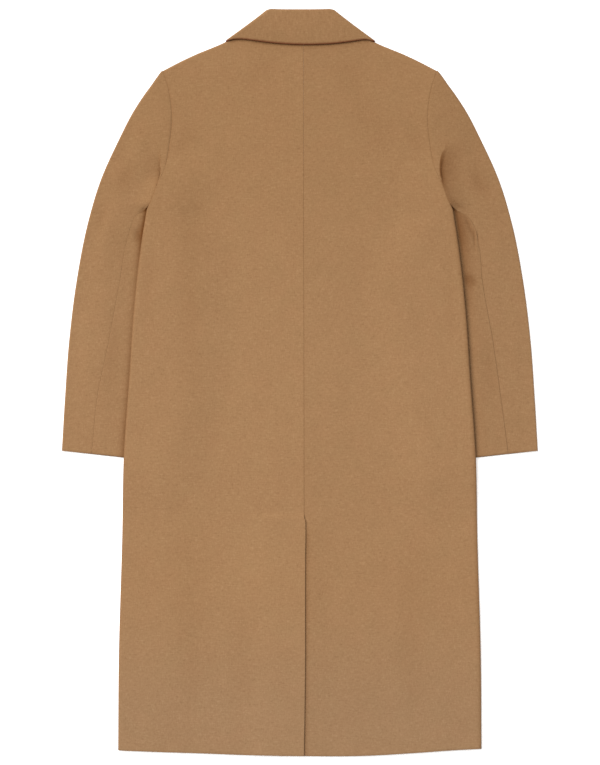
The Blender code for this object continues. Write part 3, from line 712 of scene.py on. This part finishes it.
def melton(name, shade, turn, shift, painted_shade_tint):
    """Felted camel wool: fine grain, light and dark fibres, a nap that runs along turn, and soft clouds."""
    finish = Finish(name)
    flat = finish.node("ShaderNodeTexCoord", output="Object")
    up_coat = finish.node("ShaderNodeSeparateXYZ", {}, {"Vector": flat}, 1)
    values = {"Vector": flat, "Location": (shift, 2 * shift, 0.0), "Rotation": (0.0, 0.0, turn)}
    cloth = finish.node("ShaderNodeMapping", {}, values)
    nap_places = finish.scaled(cloth, (1.0, 0.3, 1.0))
    weft_places = finish.scaled(cloth, (0.22, 1.0, 1.0))
    grain = finish.noise(cloth, 0.0011, 3.0, 0.7)
    pebble = finish.noise(cloth, 0.0034, 2.0, 0.6)
    nap = finish.noise(nap_places, 0.0016, 2.0, 0.6)
    weft = finish.noise(weft_places, 0.0019, 2.0, 0.6)
    mottle = finish.noise(cloth, 0.03, 2.0)
    cloud = finish.noise(cloth, 0.16, 1.0)
    # Painted shade: each point's darkness in hollows, along seams and under edges
    painted_shade = finish.node("ShaderNodeAttribute", {"attribute_name": "painted_shade"}, output="Fac")

    tone = 0.5 + (grain - 0.5) * 0.74 + (pebble - 0.5) * 0.76 + (nap - 0.5) * 0.66 + (weft - 0.5) * 0.72
    tone = tone + (mottle - 0.5) * 0.25 + (cloud - 0.5) * 0.2
    wool = finish.blend(tone, tinted(WOOL_DARK, shade), tinted(WOOL_LIGHT, shade))
    fibres = nap * weft
    wool = finish.blend((fibres > 0.345) * FIBRE_SHOWS, wool, tinted(LIGHT_FIBRE, shade))
    wool = finish.blend((fibres < 0.155) * FIBRE_SHOWS, wool, tinted(DARK_FIBRE, shade))
    spots = finish.blend(finish.noise(cloth, 0.028, 1.0), ROSY_TINT, OLIVE_TINT)
    top, hem = (finish.soft_step(up_coat, *span) for span in (TOP_PAINTED_SHADE_RAMP, HEM_PAINTED_LIGHT_RAMP))
    # Painted light and shade: the coat's top darker, the hem cooler, and the dark tint of each point's
    # painted shade
    for amount, tint in ((1.0, spots), (top, TOP_PAINTED_SHADE), (hem, HEM_PAINTED_LIGHT), (painted_shade, painted_shade_tint)):
        wool = finish.blend(amount, wool, tint, "MULTIPLY")

    height = grain * 0.35 + pebble * 0.4 + nap * 0.3 + weft * 0.2
    bump = {"Height": height, "Strength": 0.55, "Distance": 0.0006}
    finish.feed(finish.shader, {
        "Base Color": wool,
        "Roughness": 0.9 + (grain - 0.5) * 0.12 - painted_shade * 0.05,
        "Normal": finish.node("ShaderNodeBump", {}, bump),
        "Specular IOR Level": 0.18,
        "Sheen Weight": 0.05,
        "Sheen Roughness": 0.55,
        "Sheen Tint": (0.85, 0.66, 0.45, 1.0)})
    return finish.material


def thick_cloth(grid, wall, kept):
    """Points and faces of a wall of cloth whose middle is the grid, with softly rounded edges.

    kept says which cells of the grid are cloth. Also gives, for each point, its place in the grid.
    """
    rows, columns = grid.shape[:2]
    middle = grid.reshape(-1, 3)
    normal = np.cross(np.gradient(grid, axis=1), np.gradient(grid, axis=0)).reshape(-1, 3)
    normal = normal / np.linalg.norm(normal, axis=1, keepdims=True)
    number = np.arange(rows * columns).reshape(rows, columns)
    quads = np.stack((number[:-1, :-1], number[1:, :-1], number[1:, 1:], number[:-1, 1:]), axis=-1)[kept]
    sides = np.concatenate([quads[:, (k, (k + 1) % 4)] for k in range(4)])
    codes = sides[:, 0] * len(middle) + sides[:, 1]
    edges = sides[~np.isin(codes, sides[:, 1] * len(middle) + sides[:, 0])]
    outward = np.zeros_like(middle)
    for ends in edges.T:
        np.add.at(outward, ends, np.cross(middle[edges[:, 1]] - middle[edges[:, 0]], -normal[edges[:, 0]]))
    length = np.linalg.norm(outward, axis=1, keepdims=True)
    inset = middle - EDGE_SOFT * outward / np.maximum(length, 1e-9)
    rim = np.unique(edges)
    high, low = wall / 2 * normal, (wall / 2 - EDGE_SOFT) * normal
    points = np.concatenate((inset - high, inset + high, (middle - low)[rim], (middle + low)[rim]))
    count, rims = len(middle), len(rim)
    place_on_rim = np.zeros(count, int)
    place_on_rim[rim] = np.arange(rims)
    on_rim = 2 * count + place_on_rim[edges.T]
    ring = [edges.T, on_rim, rims + on_rim, count + edges.T]
    strips = [np.stack((*below[::-1], *above), axis=-1) for below, above in zip(ring, ring[1:])]
    faces = np.concatenate([quads, quads[:, ::-1] + count] + strips)
    used, faces = np.unique(faces, return_inverse=True)
    where = np.concatenate((np.arange(count), np.arange(count), rim, rim))
    return points[used], faces.reshape(-1, 4), where[used]


def add_object(name, data):
    made = bpy.data.objects.new(name, data)
    bpy.context.scene.collection.objects.link(made)
    return made


def cloth_piece(node, grid, painted_shade=None, wall=CLOTH, kept=None, painted_shade_tint=PAINTED_SHADE_TINT):
    """A sheet of wool through a grid of points, in place of its solid; PIECES gives its cut and its look."""
    flat, area, shade, turn, shift = PIECES[node]
    look = melton("wool_" + node, shade, turn, shift, painted_shade_tint)
    grid = np.asarray(grid)
    painted_shade = np.zeros(grid.shape[:2]) if painted_shade is None else painted_shade
    kept = np.ones((grid.shape[0] - 1, grid.shape[1] - 1), bool) if kept is None else kept
    points, faces, where = thick_cloth(grid, wall, kept)
    mesh = bpy.data.meshes.new(node + "_cloth")
    mesh.from_pydata(points.tolist(), [], faces.tolist())
    # Painted shade: each point's darkness, kept on the mesh for the wool to read
    painted_shade_layer = mesh.attributes.new("painted_shade", "FLOAT", "POINT")
    painted_shade_layer.data.foreach_set("value", np.ravel(painted_shade)[where].astype(np.float32))
    mesh.shade_smooth()
    mesh.materials.append(look)
    piece = add_object(node + "_cloth", mesh)
    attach(piece, "root")
    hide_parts(node)
    return piece


def shade_near(distance, reach):
    """How strong the painted shade is, from 1 at a seam or edge to 0 at its reach."""
    return np.clip(1 - distance / reach, 0.0, 1.0) ** 1.5


def shadow_beside(distance, spans):
    """The painted shadow beside an edge that lies on it: spans, each with its darkness and reach, add up."""
    return sum(amount * np.clip(1 - distance / reach, 0.0, 1.0) for amount, reach in spans)


def armhole_shade(panel, name, down):
    """How dark the painted shade is along the armhole seam, on the back or on the sleeve."""
    amount = mix(ARMHOLE_SHADE[panel][name], UNDERARM_SHADE[name], ramp(down, *SEAM_RETURNS))
    return amount * armhole_shows(down)


def back_shade(name, grid):
    """Painted shade along the back's seams, beside the vent, at the side and below the collar."""
    x, down = grid[..., 0], LENGTH / 2 - grid[..., 1]
    centre = CENTRE_SEAM_SHADE * shade_near(abs(x - centre_x(down)), SEAM_SHADE_REACH) * (down < VENT_TOP)
    from_vent = x - read(VENT_EDGE, "x", down)
    vent = shadow_beside(from_vent, VENT_SHADE) * (from_vent > VENT_SHADE_START)
    vent = vent * ramp(down, VENT_TOP, VENT_TOP + VENT_SHADE_RAMP) * (name == "right")
    from_side = abs(body_edge(down) - abs(x))
    armhole = armhole_shade("back", name, down) * shade_near(from_side, SEAM_SHADE_REACH)
    (amount, reach), (at_edge, edge) = SIDE_SHADE[name], SIDE_EDGE_SHADE
    below = amount * shade_near(from_side, reach) * mix(at_edge, 1.0, ramp(from_side, 0.0, edge))
    side = mix(armhole, below, ramp(down, UNDERARM, SIDE_TURN_END))
    collar = shadow_beside(down - read(COLLAR_EDGE, "down", x), COLLAR_SHADOW) * (abs(x) < EDGE_CORNER[0])
    shade = np.maximum(np.maximum(centre, vent), np.maximum(side, collar))
    return shade + trough_shade(BACK_CREASES, x, down)


def back_panels():
    """The left back laps over the right one at the vent, whose underlap is cut with the right back."""
    def left_inner(down):
        edge = np.where(down > VENT_TOP, read(VENT_EDGE, "x", down), centre_x(down))
        return SEAM_GAP / 2 - edge

    def right_inner(down):
        return centre_x(down) + SEAM_GAP / 2

    def panel(side, inner):
        return body_rows(side, back_z, inner, back_top, 0.0, BODY_SPACING, BACK_STEP, CENTRE_SEAM)

    grid = panel(-1, left_inner)
    cloth_piece("back_left", grid, back_shade("left", grid))
    grid = panel(1, right_inner)
    x = grid[:, :1, 0] - UNDERLAP * np.linspace(1.0, 1 / UNDERLAP_COLUMNS, UNDERLAP_COLUMNS)
    down = LENGTH / 2 - grid[:, :1, 1]
    grid = np.concatenate((place(1, x, down, back_z(1, x, down)), grid), axis=1)
    on_underlap = np.arange(grid.shape[1] - 1) < UNDERLAP_COLUMNS
    above_underlap = grid[1:, :-1, 1] > LENGTH / 2 - UNDERLAP_DOWN - SEAM_GAP / 2
    kept = ~(on_underlap & above_underlap)
    cloth_piece("back_right", grid, back_shade("right", grid), kept=kept)


def front_panels():
    """The hidden fronts, the right one outermost, which lies lowest."""
    for name, side in SIDES.items():
        shape = (front_z, front_edge, shoulder_down, FRONT_HEM_RISE)
        grid = body_rows(side, *shape, FRONT_SPACING, FRONT_STEP)
        cloth_piece("front_" + name, grid)


def lapels():
    """The top of each front turned back under it along the roll line."""
    for name, side in SIDES.items():
        rows = []
        for q in np.linspace(0.0, 1.0, 33):
            roll_out, roll_down = line(ROLL_START, ROLL_END, q)
            edge_down = mix(LAPEL_EDGE["down"][0], LAPEL_EDGE["down"][-1], q)
            edge = (read(LAPEL_EDGE, "out", edge_down), edge_down)
            a = np.radians(np.arange(90, -61, -15))
            roll = place(side, roll_out - FOLD_GAP - LAPEL_ROLL * np.cos(a), roll_down,
                         FRONT_Z + LAP_LIFT - LAPEL_ROLL + LAPEL_ROLL * np.sin(a))
            leaf = place(side, *line((roll_out, roll_down), edge, np.linspace(0.0, 1.0, 16)), FRONT_Z)
            rows.append(np.concatenate((roll, leaf)))
        cloth_piece("lapel_" + name, rows)


def collar_sections():
    """Sections of the collar from the left front end round the back to the right one.

    Each is the centre of the fold, the end of the leaf, the way the leaf faces, and the radius of the fold.
    """
    half = [half_collar(name) for name in SIDES]
    flip = np.array((-1, 1, 1))
    mirrored = [(fold * flip, end * flip, facing * flip, roll) for fold, end, facing, roll in half[0][:0:-1]]
    return mirrored + half[1]


def half_collar(name):
    """Sections from the centre back to the front end of one side, all drawn as on the right side."""
    up = np.array((0.0, 0.0, 1.0))
    pull, corner = TIP_PULL[name], FOLD_CORNER[name]
    half = []
    for u in np.linspace(0.0, 1.0, BACK_SECTIONS + 1):
        fold = place(1, u * corner[0], mix(COLLAR_TOP, corner[1], u ** 2), FOLD_Z_BACK)
        out = u * EDGE_CORNER[0]
        down = read(COLLAR_EDGE, "down", SIDES[name] * out)
        half.append((fold, place(1, out, down, EDGE_Z_BACK), up, COLLAR_ROLL_BACK))
    fold_front_z = FRONT_Z + COLLAR_ROLL_FRONT
    fold_rise, edge_rise = (FOLD_Z_BACK - fold_front_z) / 2, (EDGE_Z_BACK - FRONT_Z) / 2
    fold_axis = place(1, *corner, fold_front_z + fold_rise)
    edge_axis = place(1, *EDGE_CORNER, FRONT_Z + edge_rise)
    along = (edge_axis - fold_axis) * (1, 1, 0)
    along = along / np.linalg.norm(along)
    outward = np.array((-along[1], along[0], 0.0))
    tip_pull, lift = np.array((pull[0], -pull[1], 0.0)), np.array((0.0, EDGE_LIFT, 0.0))
    for k in range(1, TURN_SECTIONS + 1):
        angle = 180 * k / TURN_SECTIONS
        a = math.radians(angle)
        facing = math.cos(a) * up + math.sin(a) * outward
        roll = mix(COLLAR_ROLL_BACK, COLLAR_ROLL_FRONT, angle / 180)
        bulge = fold_rise * (math.cos(a) * up + COLLAR_TURN * math.sin(a) * outward)
        fold = fold_axis + bulge + COLLAR_SHOULDER * math.sin(a) * along
        pulled = tip_pull * math.sin(a) + lift * (1 - math.sin(a))
        half.append((fold, edge_axis + edge_rise * facing + pulled, facing, roll))
    for u in np.linspace(1 / LEAF_SECTIONS, 1.0, LEAF_SECTIONS):
        fold = place(1, *line(corner, GORGE_FOLD, u), fold_front_z)
        end = place(1, *line(EDGE_CORNER, COLLAR_TIP, u), FRONT_Z)
        half.append((fold, end, -up, COLLAR_ROLL_FRONT))
    return half


def collar_fall(sections):
    """The leaf with the rounded fold at its top."""
    rows = []
    for fold, end, facing, roll in sections:
        leaf_start = fold + roll * facing
        along = end - leaf_start
        away = -along * (1, 1, 0) / np.linalg.norm(along[:2])
        away = away - facing * np.dot(away, facing)
        away = away / np.linalg.norm(away)
        row = [fold - roll * facing - away * FOLD_LEAD]
        for angle in range(180, 0, -20):
            a = math.radians(angle)
            row.append(fold + roll * (math.cos(a) * facing + math.sin(a) * away))
        on_back = max(facing[2], 0.0)
        drop, reach = COLLAR_EDGE_ROLL
        flat = 1 - reach / np.linalg.norm(along)
        for t in np.concatenate((np.linspace(0.0, flat, 26), np.linspace(flat, 1.0, 8)[1:])):
            lift = COLLAR_CROWN * math.sin(math.pi * t) + COLLAR_STANDS_OFF * t
            rolled = drop * ((t - flat) / (1 - flat)) ** 2 if t > flat else 0.0
            sag = COLLAR_SAG * math.sin(math.pi * t) * facing * (1, 1, 0)
            row.append(mix(leaf_start, end, t) + facing * on_back * (lift - rolled) - sag)
        rows.append(row)
    grid = np.array(rows)
    # Painted shade: the collar's rolled edge darkens towards its end
    painted_shade = shade_near(np.linalg.norm(grid - grid[:, -1:], axis=-1), COLLAR_EDGE_SHADE)
    cloth_piece("collar_fall", grid, painted_shade, COLLAR_CLOTH, painted_shade_tint=COLLAR_PAINTED_SHADE_TINT)


def neck_seam(section):
    """The place on the neck seam that belongs to a section of the collar, counted from the centre back."""
    side, index = (1 if section >= 0 else -1), abs(section)
    front_neck_z = FRONT_Z + LAP_LIFT
    neck_down, corner = shoulder_down(NECK_OUT), NECK_OUT - NECK_SEAM_INSET
    if index <= BACK_SECTIONS:
        out = index / BACK_SECTIONS * corner
        return place(side, out, back_top(out) - NECK_GAP, BACK_Z)
    index = index - BACK_SECTIONS
    if index <= TURN_SECTIONS:
        around = math.pi * index / TURN_SECTIONS
        radius = (BACK_Z - front_neck_z) / 2
        return place(side, corner + NECK_SEAM_BULGE * math.sin(around), neck_down - NECK_GAP,
                     BACK_Z - radius + radius * math.cos(around))
    down = mix(neck_down, GORGE_FOLD[1], (index - TURN_SECTIONS) / LEAF_SECTIONS)
    return place(side, read(FRONT_NECK, "out", down) - NECK_GAP, down, front_neck_z)


def collar_stand(sections):
    """The band from the neck seam up to the fold, inside the collar."""
    rows = []
    for section, (fold, _, facing, roll) in enumerate(sections, -(len(sections) // 2)):
        foot = neck_seam(section)
        head = fold - roll * facing
        to_foot = (foot - head) / np.linalg.norm(foot - head)
        head = head + to_foot * (FOLD_LEAD + FOLD_GAP + STAND_CLEAR)
        rows.append([mix(foot, head, t) for t in np.linspace(0.0, 1.0, 9)])
    cloth_piece("collar_stand", rows)


def sleeve_crest(name, down, out):
    """The soft rise along the sleeve, beside the body's edge on the right and farther out on the left."""
    height, peak = CREST[name]
    inner, outer = CREST_MARGINS
    from_body, width = out - body_edge(down), read(SLEEVE_OUTER, "out", down) - body_edge(down)
    rise = ramp(from_body, inner, peak)
    if name == "right":
        rise = mix(1.0, rise, ramp(down, *FADE_ENDS))
    across = rise * (1 - ramp(from_body, peak, width - outer))
    return height * across * ramp(down, *CREST_STARTS) * (1 - CREST_LOSS * ramp(down, *CREST_SETTLES))


def sleeve_top_z(name, down, out):
    """The sleeve's upper side, which falls from the armhole through the underarm fold."""
    past = past_fold(name, down, out)
    folded, ends = ramp(down, *FOLD_STARTS[name]), 1 - ramp(down, *FADE_ENDS)
    drop = FOLD_DROP[name] * (1 - ramp(down, *SEAM_RETURNS))
    slope = np.clip(1 - past / FOLD_REACH, 0.0, 1.0) ** 2
    fold_fall = drop * (1 - ease(past / fold_wall(name, down))) + (1 - drop) * slope
    fall = mix(1 - ease(past / CAP_FALL), fold_fall, folded)
    own = SLEEVE_TOP_Z + sleeve_crest(name, down, out)
    own = own - FOLD_HOLLOW[name] * folded * slope * ends
    fold_out = out - np.maximum(past, 0.0)
    high = BACK_Z + underarm_rise(np.minimum(down, UNDERARM)) + fold_ridge(name, down, fold_out)
    form = mix(own, high, fall * ends)
    relief = creases(SLEEVE_CREASES[name], out, down) + unevenness(SIDES[name] * out, down)
    return np.maximum(form + relief, FRONT_Z + LAYER)


def sleeve_low_z(name, down, out):
    """The sleeve's lower side, which climbs to the armhole with the upper one."""
    past = out - body_edge(np.minimum(down, UNDERARM))
    reach = read(UNDERARM_FOLD, name, down) + LOW_CLIMB_MARGIN
    fade = (1 - ease(past / reach)) * (1 - ramp(down, *FADE_ENDS))
    climbed = FRONT_Z + underarm_rise(np.minimum(down, UNDERARM)) * fade
    return np.clip(climbed, FRONT_Z, sleeve_top_z(name, down, out) - LAYER)


def seam_place(seam, s):
    """A place on a sleeve seam, s from the underarm to the cuff; seam is its table and column."""
    cuff = read(CUFF, "down", read(*seam, CUFF["down"].max()))
    down = mix(UNDERARM, cuff, s)
    return np.array((read(*seam, down), down))


def sleeve_rows(seam):
    """Where each row of the outer piece starts, at the armhole or a seam, and ends, at the outer edge."""
    rows = [((read(ARMHOLE, "out", at) + SEAM_GAP, at), read(CAP_ROWS, "outer", at)) for at in CAP_STEPS]
    last = rows[-1][1]
    rows += [(seam_place(seam, s), mix(last, SLEEVE_OUTER["down"][-1], s)) for s in SEAM_STEPS]
    return [(np.array(start), np.array((read(SLEEVE_OUTER, "out", down), down))) for start, down in rows]


def fold_columns(name, start, end):
    """Steps from the seam to the outer edge, close together where they cross the underarm fold."""
    out, down = line(start, end, FOLD_SEARCH)
    width = np.hypot(end[0] - start[0], end[1] - start[1])
    clear = min(FOLD_CLEAR / width, FOLD_CLEAR_SHARE)
    wall = min(fold_wall(name, start[1]) / width, FOLD_WALL_SHARE)
    least, most = BEFORE_FOLD_SHARES
    crossing = max(np.interp(0.0, past_fold(name, down, out), FOLD_SEARCH), least * clear)
    inside = np.linspace(0.0, crossing - min(clear, most * crossing), 6)
    drop, beyond = np.linspace(crossing, crossing + wall, 6), crossing + wall + clear
    return np.concatenate((inside, drop, mix(beyond, 1.0, SLEEVE_SPACING)))


def cap_turn(down):
    """How far the cap turns down, as the shoulder does, to the end of the shoulder seam."""
    angle = np.arcsin(np.clip(1 - (down - CAP_TOP) / EDGE_TURN, 0.0, 1.0))
    return CAP_TURN * (1 - np.cos(angle))


def top_sleeve_row(name, back_ends, front_ends):
    """The outer piece: over the back, round the outer edge and back under to the front seam."""
    side = SIDES[name]
    (start, outer), (end, _) = back_ends, front_ends
    high, low = sleeve_top_z(name, outer[1], outer[0]), sleeve_low_z(name, outer[1], outer[0])
    room = np.linalg.norm(outer - start)
    reach = min((high - low) / 2, EDGE_TURN, TURN_SHARE * room - CLOTH / 2)
    outward = (outer - start) / room
    centre = outer - outward * (reach + CLOTH / 2)
    out, down = line(start, centre, fold_columns(name, start, centre))
    from_seam = np.hypot(out - start[0], down - start[1])
    if start[1] <= UNDERARM:
        dip = seam_dip(from_seam, ARMHOLE_SEAM) * armhole_shows(down)
    else:
        dip = seam_dip(from_seam, SLEEVE_SEAM)
    upper = place(side, out, down, sleeve_top_z(name, down, out) + dip)
    a = np.radians(np.arange(15, 180, 15))
    out, down = (centre[i] + outward[i] * reach * np.sin(a) for i in (0, 1))
    edge = place(side, out, down, (high + low) / 2 + (high - low) / 2 * np.cos(a))
    out, down = line(end, centre, SLEEVE_SPACING[::-2])
    row = np.concatenate((upper, edge, place(side, out, down, sleeve_low_z(name, down, out))))
    row[:, 2] = mix(row[:, 2], EDGE_SEAM_Z, cap_turn(start[1]))
    return row


def fold_shade(name, down, out):
    """Painted shade in the underarm fold and beside it."""
    past = past_fold(name, down, out)
    wide, core, reach = FOLD_SHADE[name]
    wide = wide * np.clip(1 - past / FOLD_SHADE_REACH, 0.0, 1.0)
    core = core * (1 - ramp(past, FOLD_SHADE_START, reach))
    shown = ramp(down, *FOLD_STARTS[name]) * (1 - FOLD_SHADE_LOSS * ramp(down, *FOLD_SHADE_FADES))
    return np.where(past > 0.0, wide + core, 0.0) * (shown * (1 - ramp(down, *FOLD_SHADE_ENDS)))


def top_sleeve_shade(name, grid):
    """Painted shade along the armhole and the back seam, in the underarm fold and in the troughs."""
    out, down = abs(grid[..., 0]), LENGTH / 2 - grid[..., 1]
    seam = mix(armhole_shade("sleeve", name, down), SLEEVE_SEAM_SHADE, ramp(down, *SLEEVE_SEAM_RAMP))
    seam = seam * shade_near(np.linalg.norm(grid - grid[:, :1], axis=-1), SEAM_SHADE_REACH)
    return np.maximum(seam, fold_shade(name, down, out)) + trough_shade(SLEEVE_CREASES[name], out, down)


def under_sleeve_shade(name, s, out, down, from_seam):
    """The strip beside the body lies in its shade, which is deepest in the pocket at the underarm."""
    from_body = out - body_edge(down)
    near, at_edge, far = BODY_SHADE_SPAN[name]
    beside = np.interp(from_body, (0.0, near, far, 2 * far), (at_edge, 1.0, BODY_SHADE_TAIL, 0.0))
    pocket = POCKET_SHADE * (1 - ramp(s, *POCKET_SHADE_ENDS)) * (1 - ramp(from_body, *POCKET_SHADE_SPAN))
    shade = read(BODY_SHADE, name, down) * beside + pocket + trough_shade(SLEEVE_CREASES[name], out, down)
    return np.clip(np.maximum(shade, SLEEVE_SEAM_SHADE * shade_near(from_seam, SEAM_SHADE_REACH)), 0.0, 1.0)


def under_sleeve_row(name, back_seam, front_seam, s):
    """The inner piece: from the back seam in under the body, round the hidden fold to the front seam."""
    side = SIDES[name]
    seam_out, seam_down = seam_place(back_seam, s)
    end_out, end_down = seam_place(front_seam, s)
    fold_down = mix(UNDER_FOLD["down"][0], read(CUFF, "down", UNDER_FOLD["out"][-1]), s)
    fold = read(UNDER_FOLD, "out", fold_down)
    half, middle = (SLEEVE_TOP_Z - FRONT_Z) / 2, (SLEEVE_TOP_Z + FRONT_Z) / 2
    turn = (fold + half, fold_down)
    out, down = line((seam_out - SEAM_GAP, seam_down), turn, UNDER_SPACING)
    from_seam = np.hypot(out - seam_out, down - seam_down)
    shade = under_sleeve_shade(name, s, out, down, from_seam)
    shown = ramp(s, *POCKET_ENDS) * ramp(out - body_edge(down), 0.0, POCKET_COVER)
    kept = np.maximum(1 - ease(from_seam / POCKET), shown)
    dip = seam_dip(abs(out - seam_out), SLEEVE_SEAM)
    upper = place(side, out, down, mix(SLEEVE_TOP_Z, sleeve_top_z(name, down, out), kept) + dip)
    a = np.radians(np.arange(20, 180, 20))
    edge = place(side, fold + half * (1 - np.sin(a)), fold_down, middle + half * np.cos(a))
    lower = place(side, *line(turn, (end_out - SEAM_GAP, end_down), np.linspace(0.0, 1.0, 12)), FRONT_Z)
    row = np.concatenate((upper, edge, lower))
    # Painted shade on the hidden fold and lower side, which lie under the body
    return row, np.concatenate((shade, np.full(len(row) - len(shade), HIDDEN_SHADE)))


def sleeves():
    """Each sleeve has an outer and an inner piece, seamed at the back and at the front."""
    for name in SIDES:
        back_seam, front_seam = (BACK_SLEEVE_SEAM, name), (FRONT_SLEEVE_SEAM, "out")
        ends = zip(sleeve_rows(back_seam), sleeve_rows(front_seam))
        grid = np.array([top_sleeve_row(name, back, front) for back, front in ends])
        cloth_piece("top_sleeve_" + name, grid, top_sleeve_shade(name, grid))
        inner = SEAM_STEPS[SEAM_STEPS >= UNDER_SLEEVE_START]
        rows, shades = zip(*(under_sleeve_row(name, back_seam, front_seam, s) for s in inner))
        cloth_piece("under_sleeve_" + name, rows, shades)


def studio():
    """A plain pale floor, a broad soft light from the upper left, pale surroundings, and the camera."""
    scene = bpy.context.scene
    bpy.ops.mesh.primitive_plane_add(size=FLOOR_SIZE, location=(0.0, 0.0, FLOOR_Z))
    floor = bpy.context.object
    floor.name = "floor"
    paper = Finish("white_paper")
    grain = paper.noise(paper.node("ShaderNodeTexCoord", output="Object"), 0.004)
    paper.feed(paper.shader, {
        "Base Color": paper.blend(grain, DULL_PAPER, PALE_PAPER),
        "Roughness": 0.95,
        "Specular IOR Level": 0.1,
        "Emission Color": WHITE,
        "Emission Strength": PAPER_GLOW})
    floor.data.materials.append(paper.material)

    lamp = bpy.data.lights.new("key", "SUN")
    lamp.energy = LAMP_POWER
    lamp.angle = math.radians(LAMP_WIDTH)
    light = add_object("key", lamp)
    light.rotation_mode = "QUATERNION"
    light.rotation_quaternion = Vector(LAMP_FROM).to_track_quat("Z", "Y")
    world = bpy.data.worlds.new("studio")
    scene.world = world
    world.use_nodes = True
    background = world.node_tree.nodes["Background"].inputs
    background["Color"].default_value = WHITE
    background["Strength"].default_value = SURROUNDINGS

    camera = add_object("camera", bpy.data.cameras.new("camera"))
    camera.data.sensor_fit = "HORIZONTAL"
    camera.data.sensor_width = SENSOR
    camera.data.lens = SENSOR * (CAMERA_PLACE[2] - BACK_Z) / PHOTO_WIDTH
    camera.location = CAMERA_PLACE
    camera.data.clip_end = CAMERA_SEES
    scene.camera = camera
    scene.view_settings.view_transform = "Standard"
    scene.view_settings.look = "None"


studio()
front_panels()
lapels()
back_panels()
SECTIONS = collar_sections()
collar_stand(SECTIONS)
collar_fall(SECTIONS)
sleeves()

bpy.context.view_layer.update()
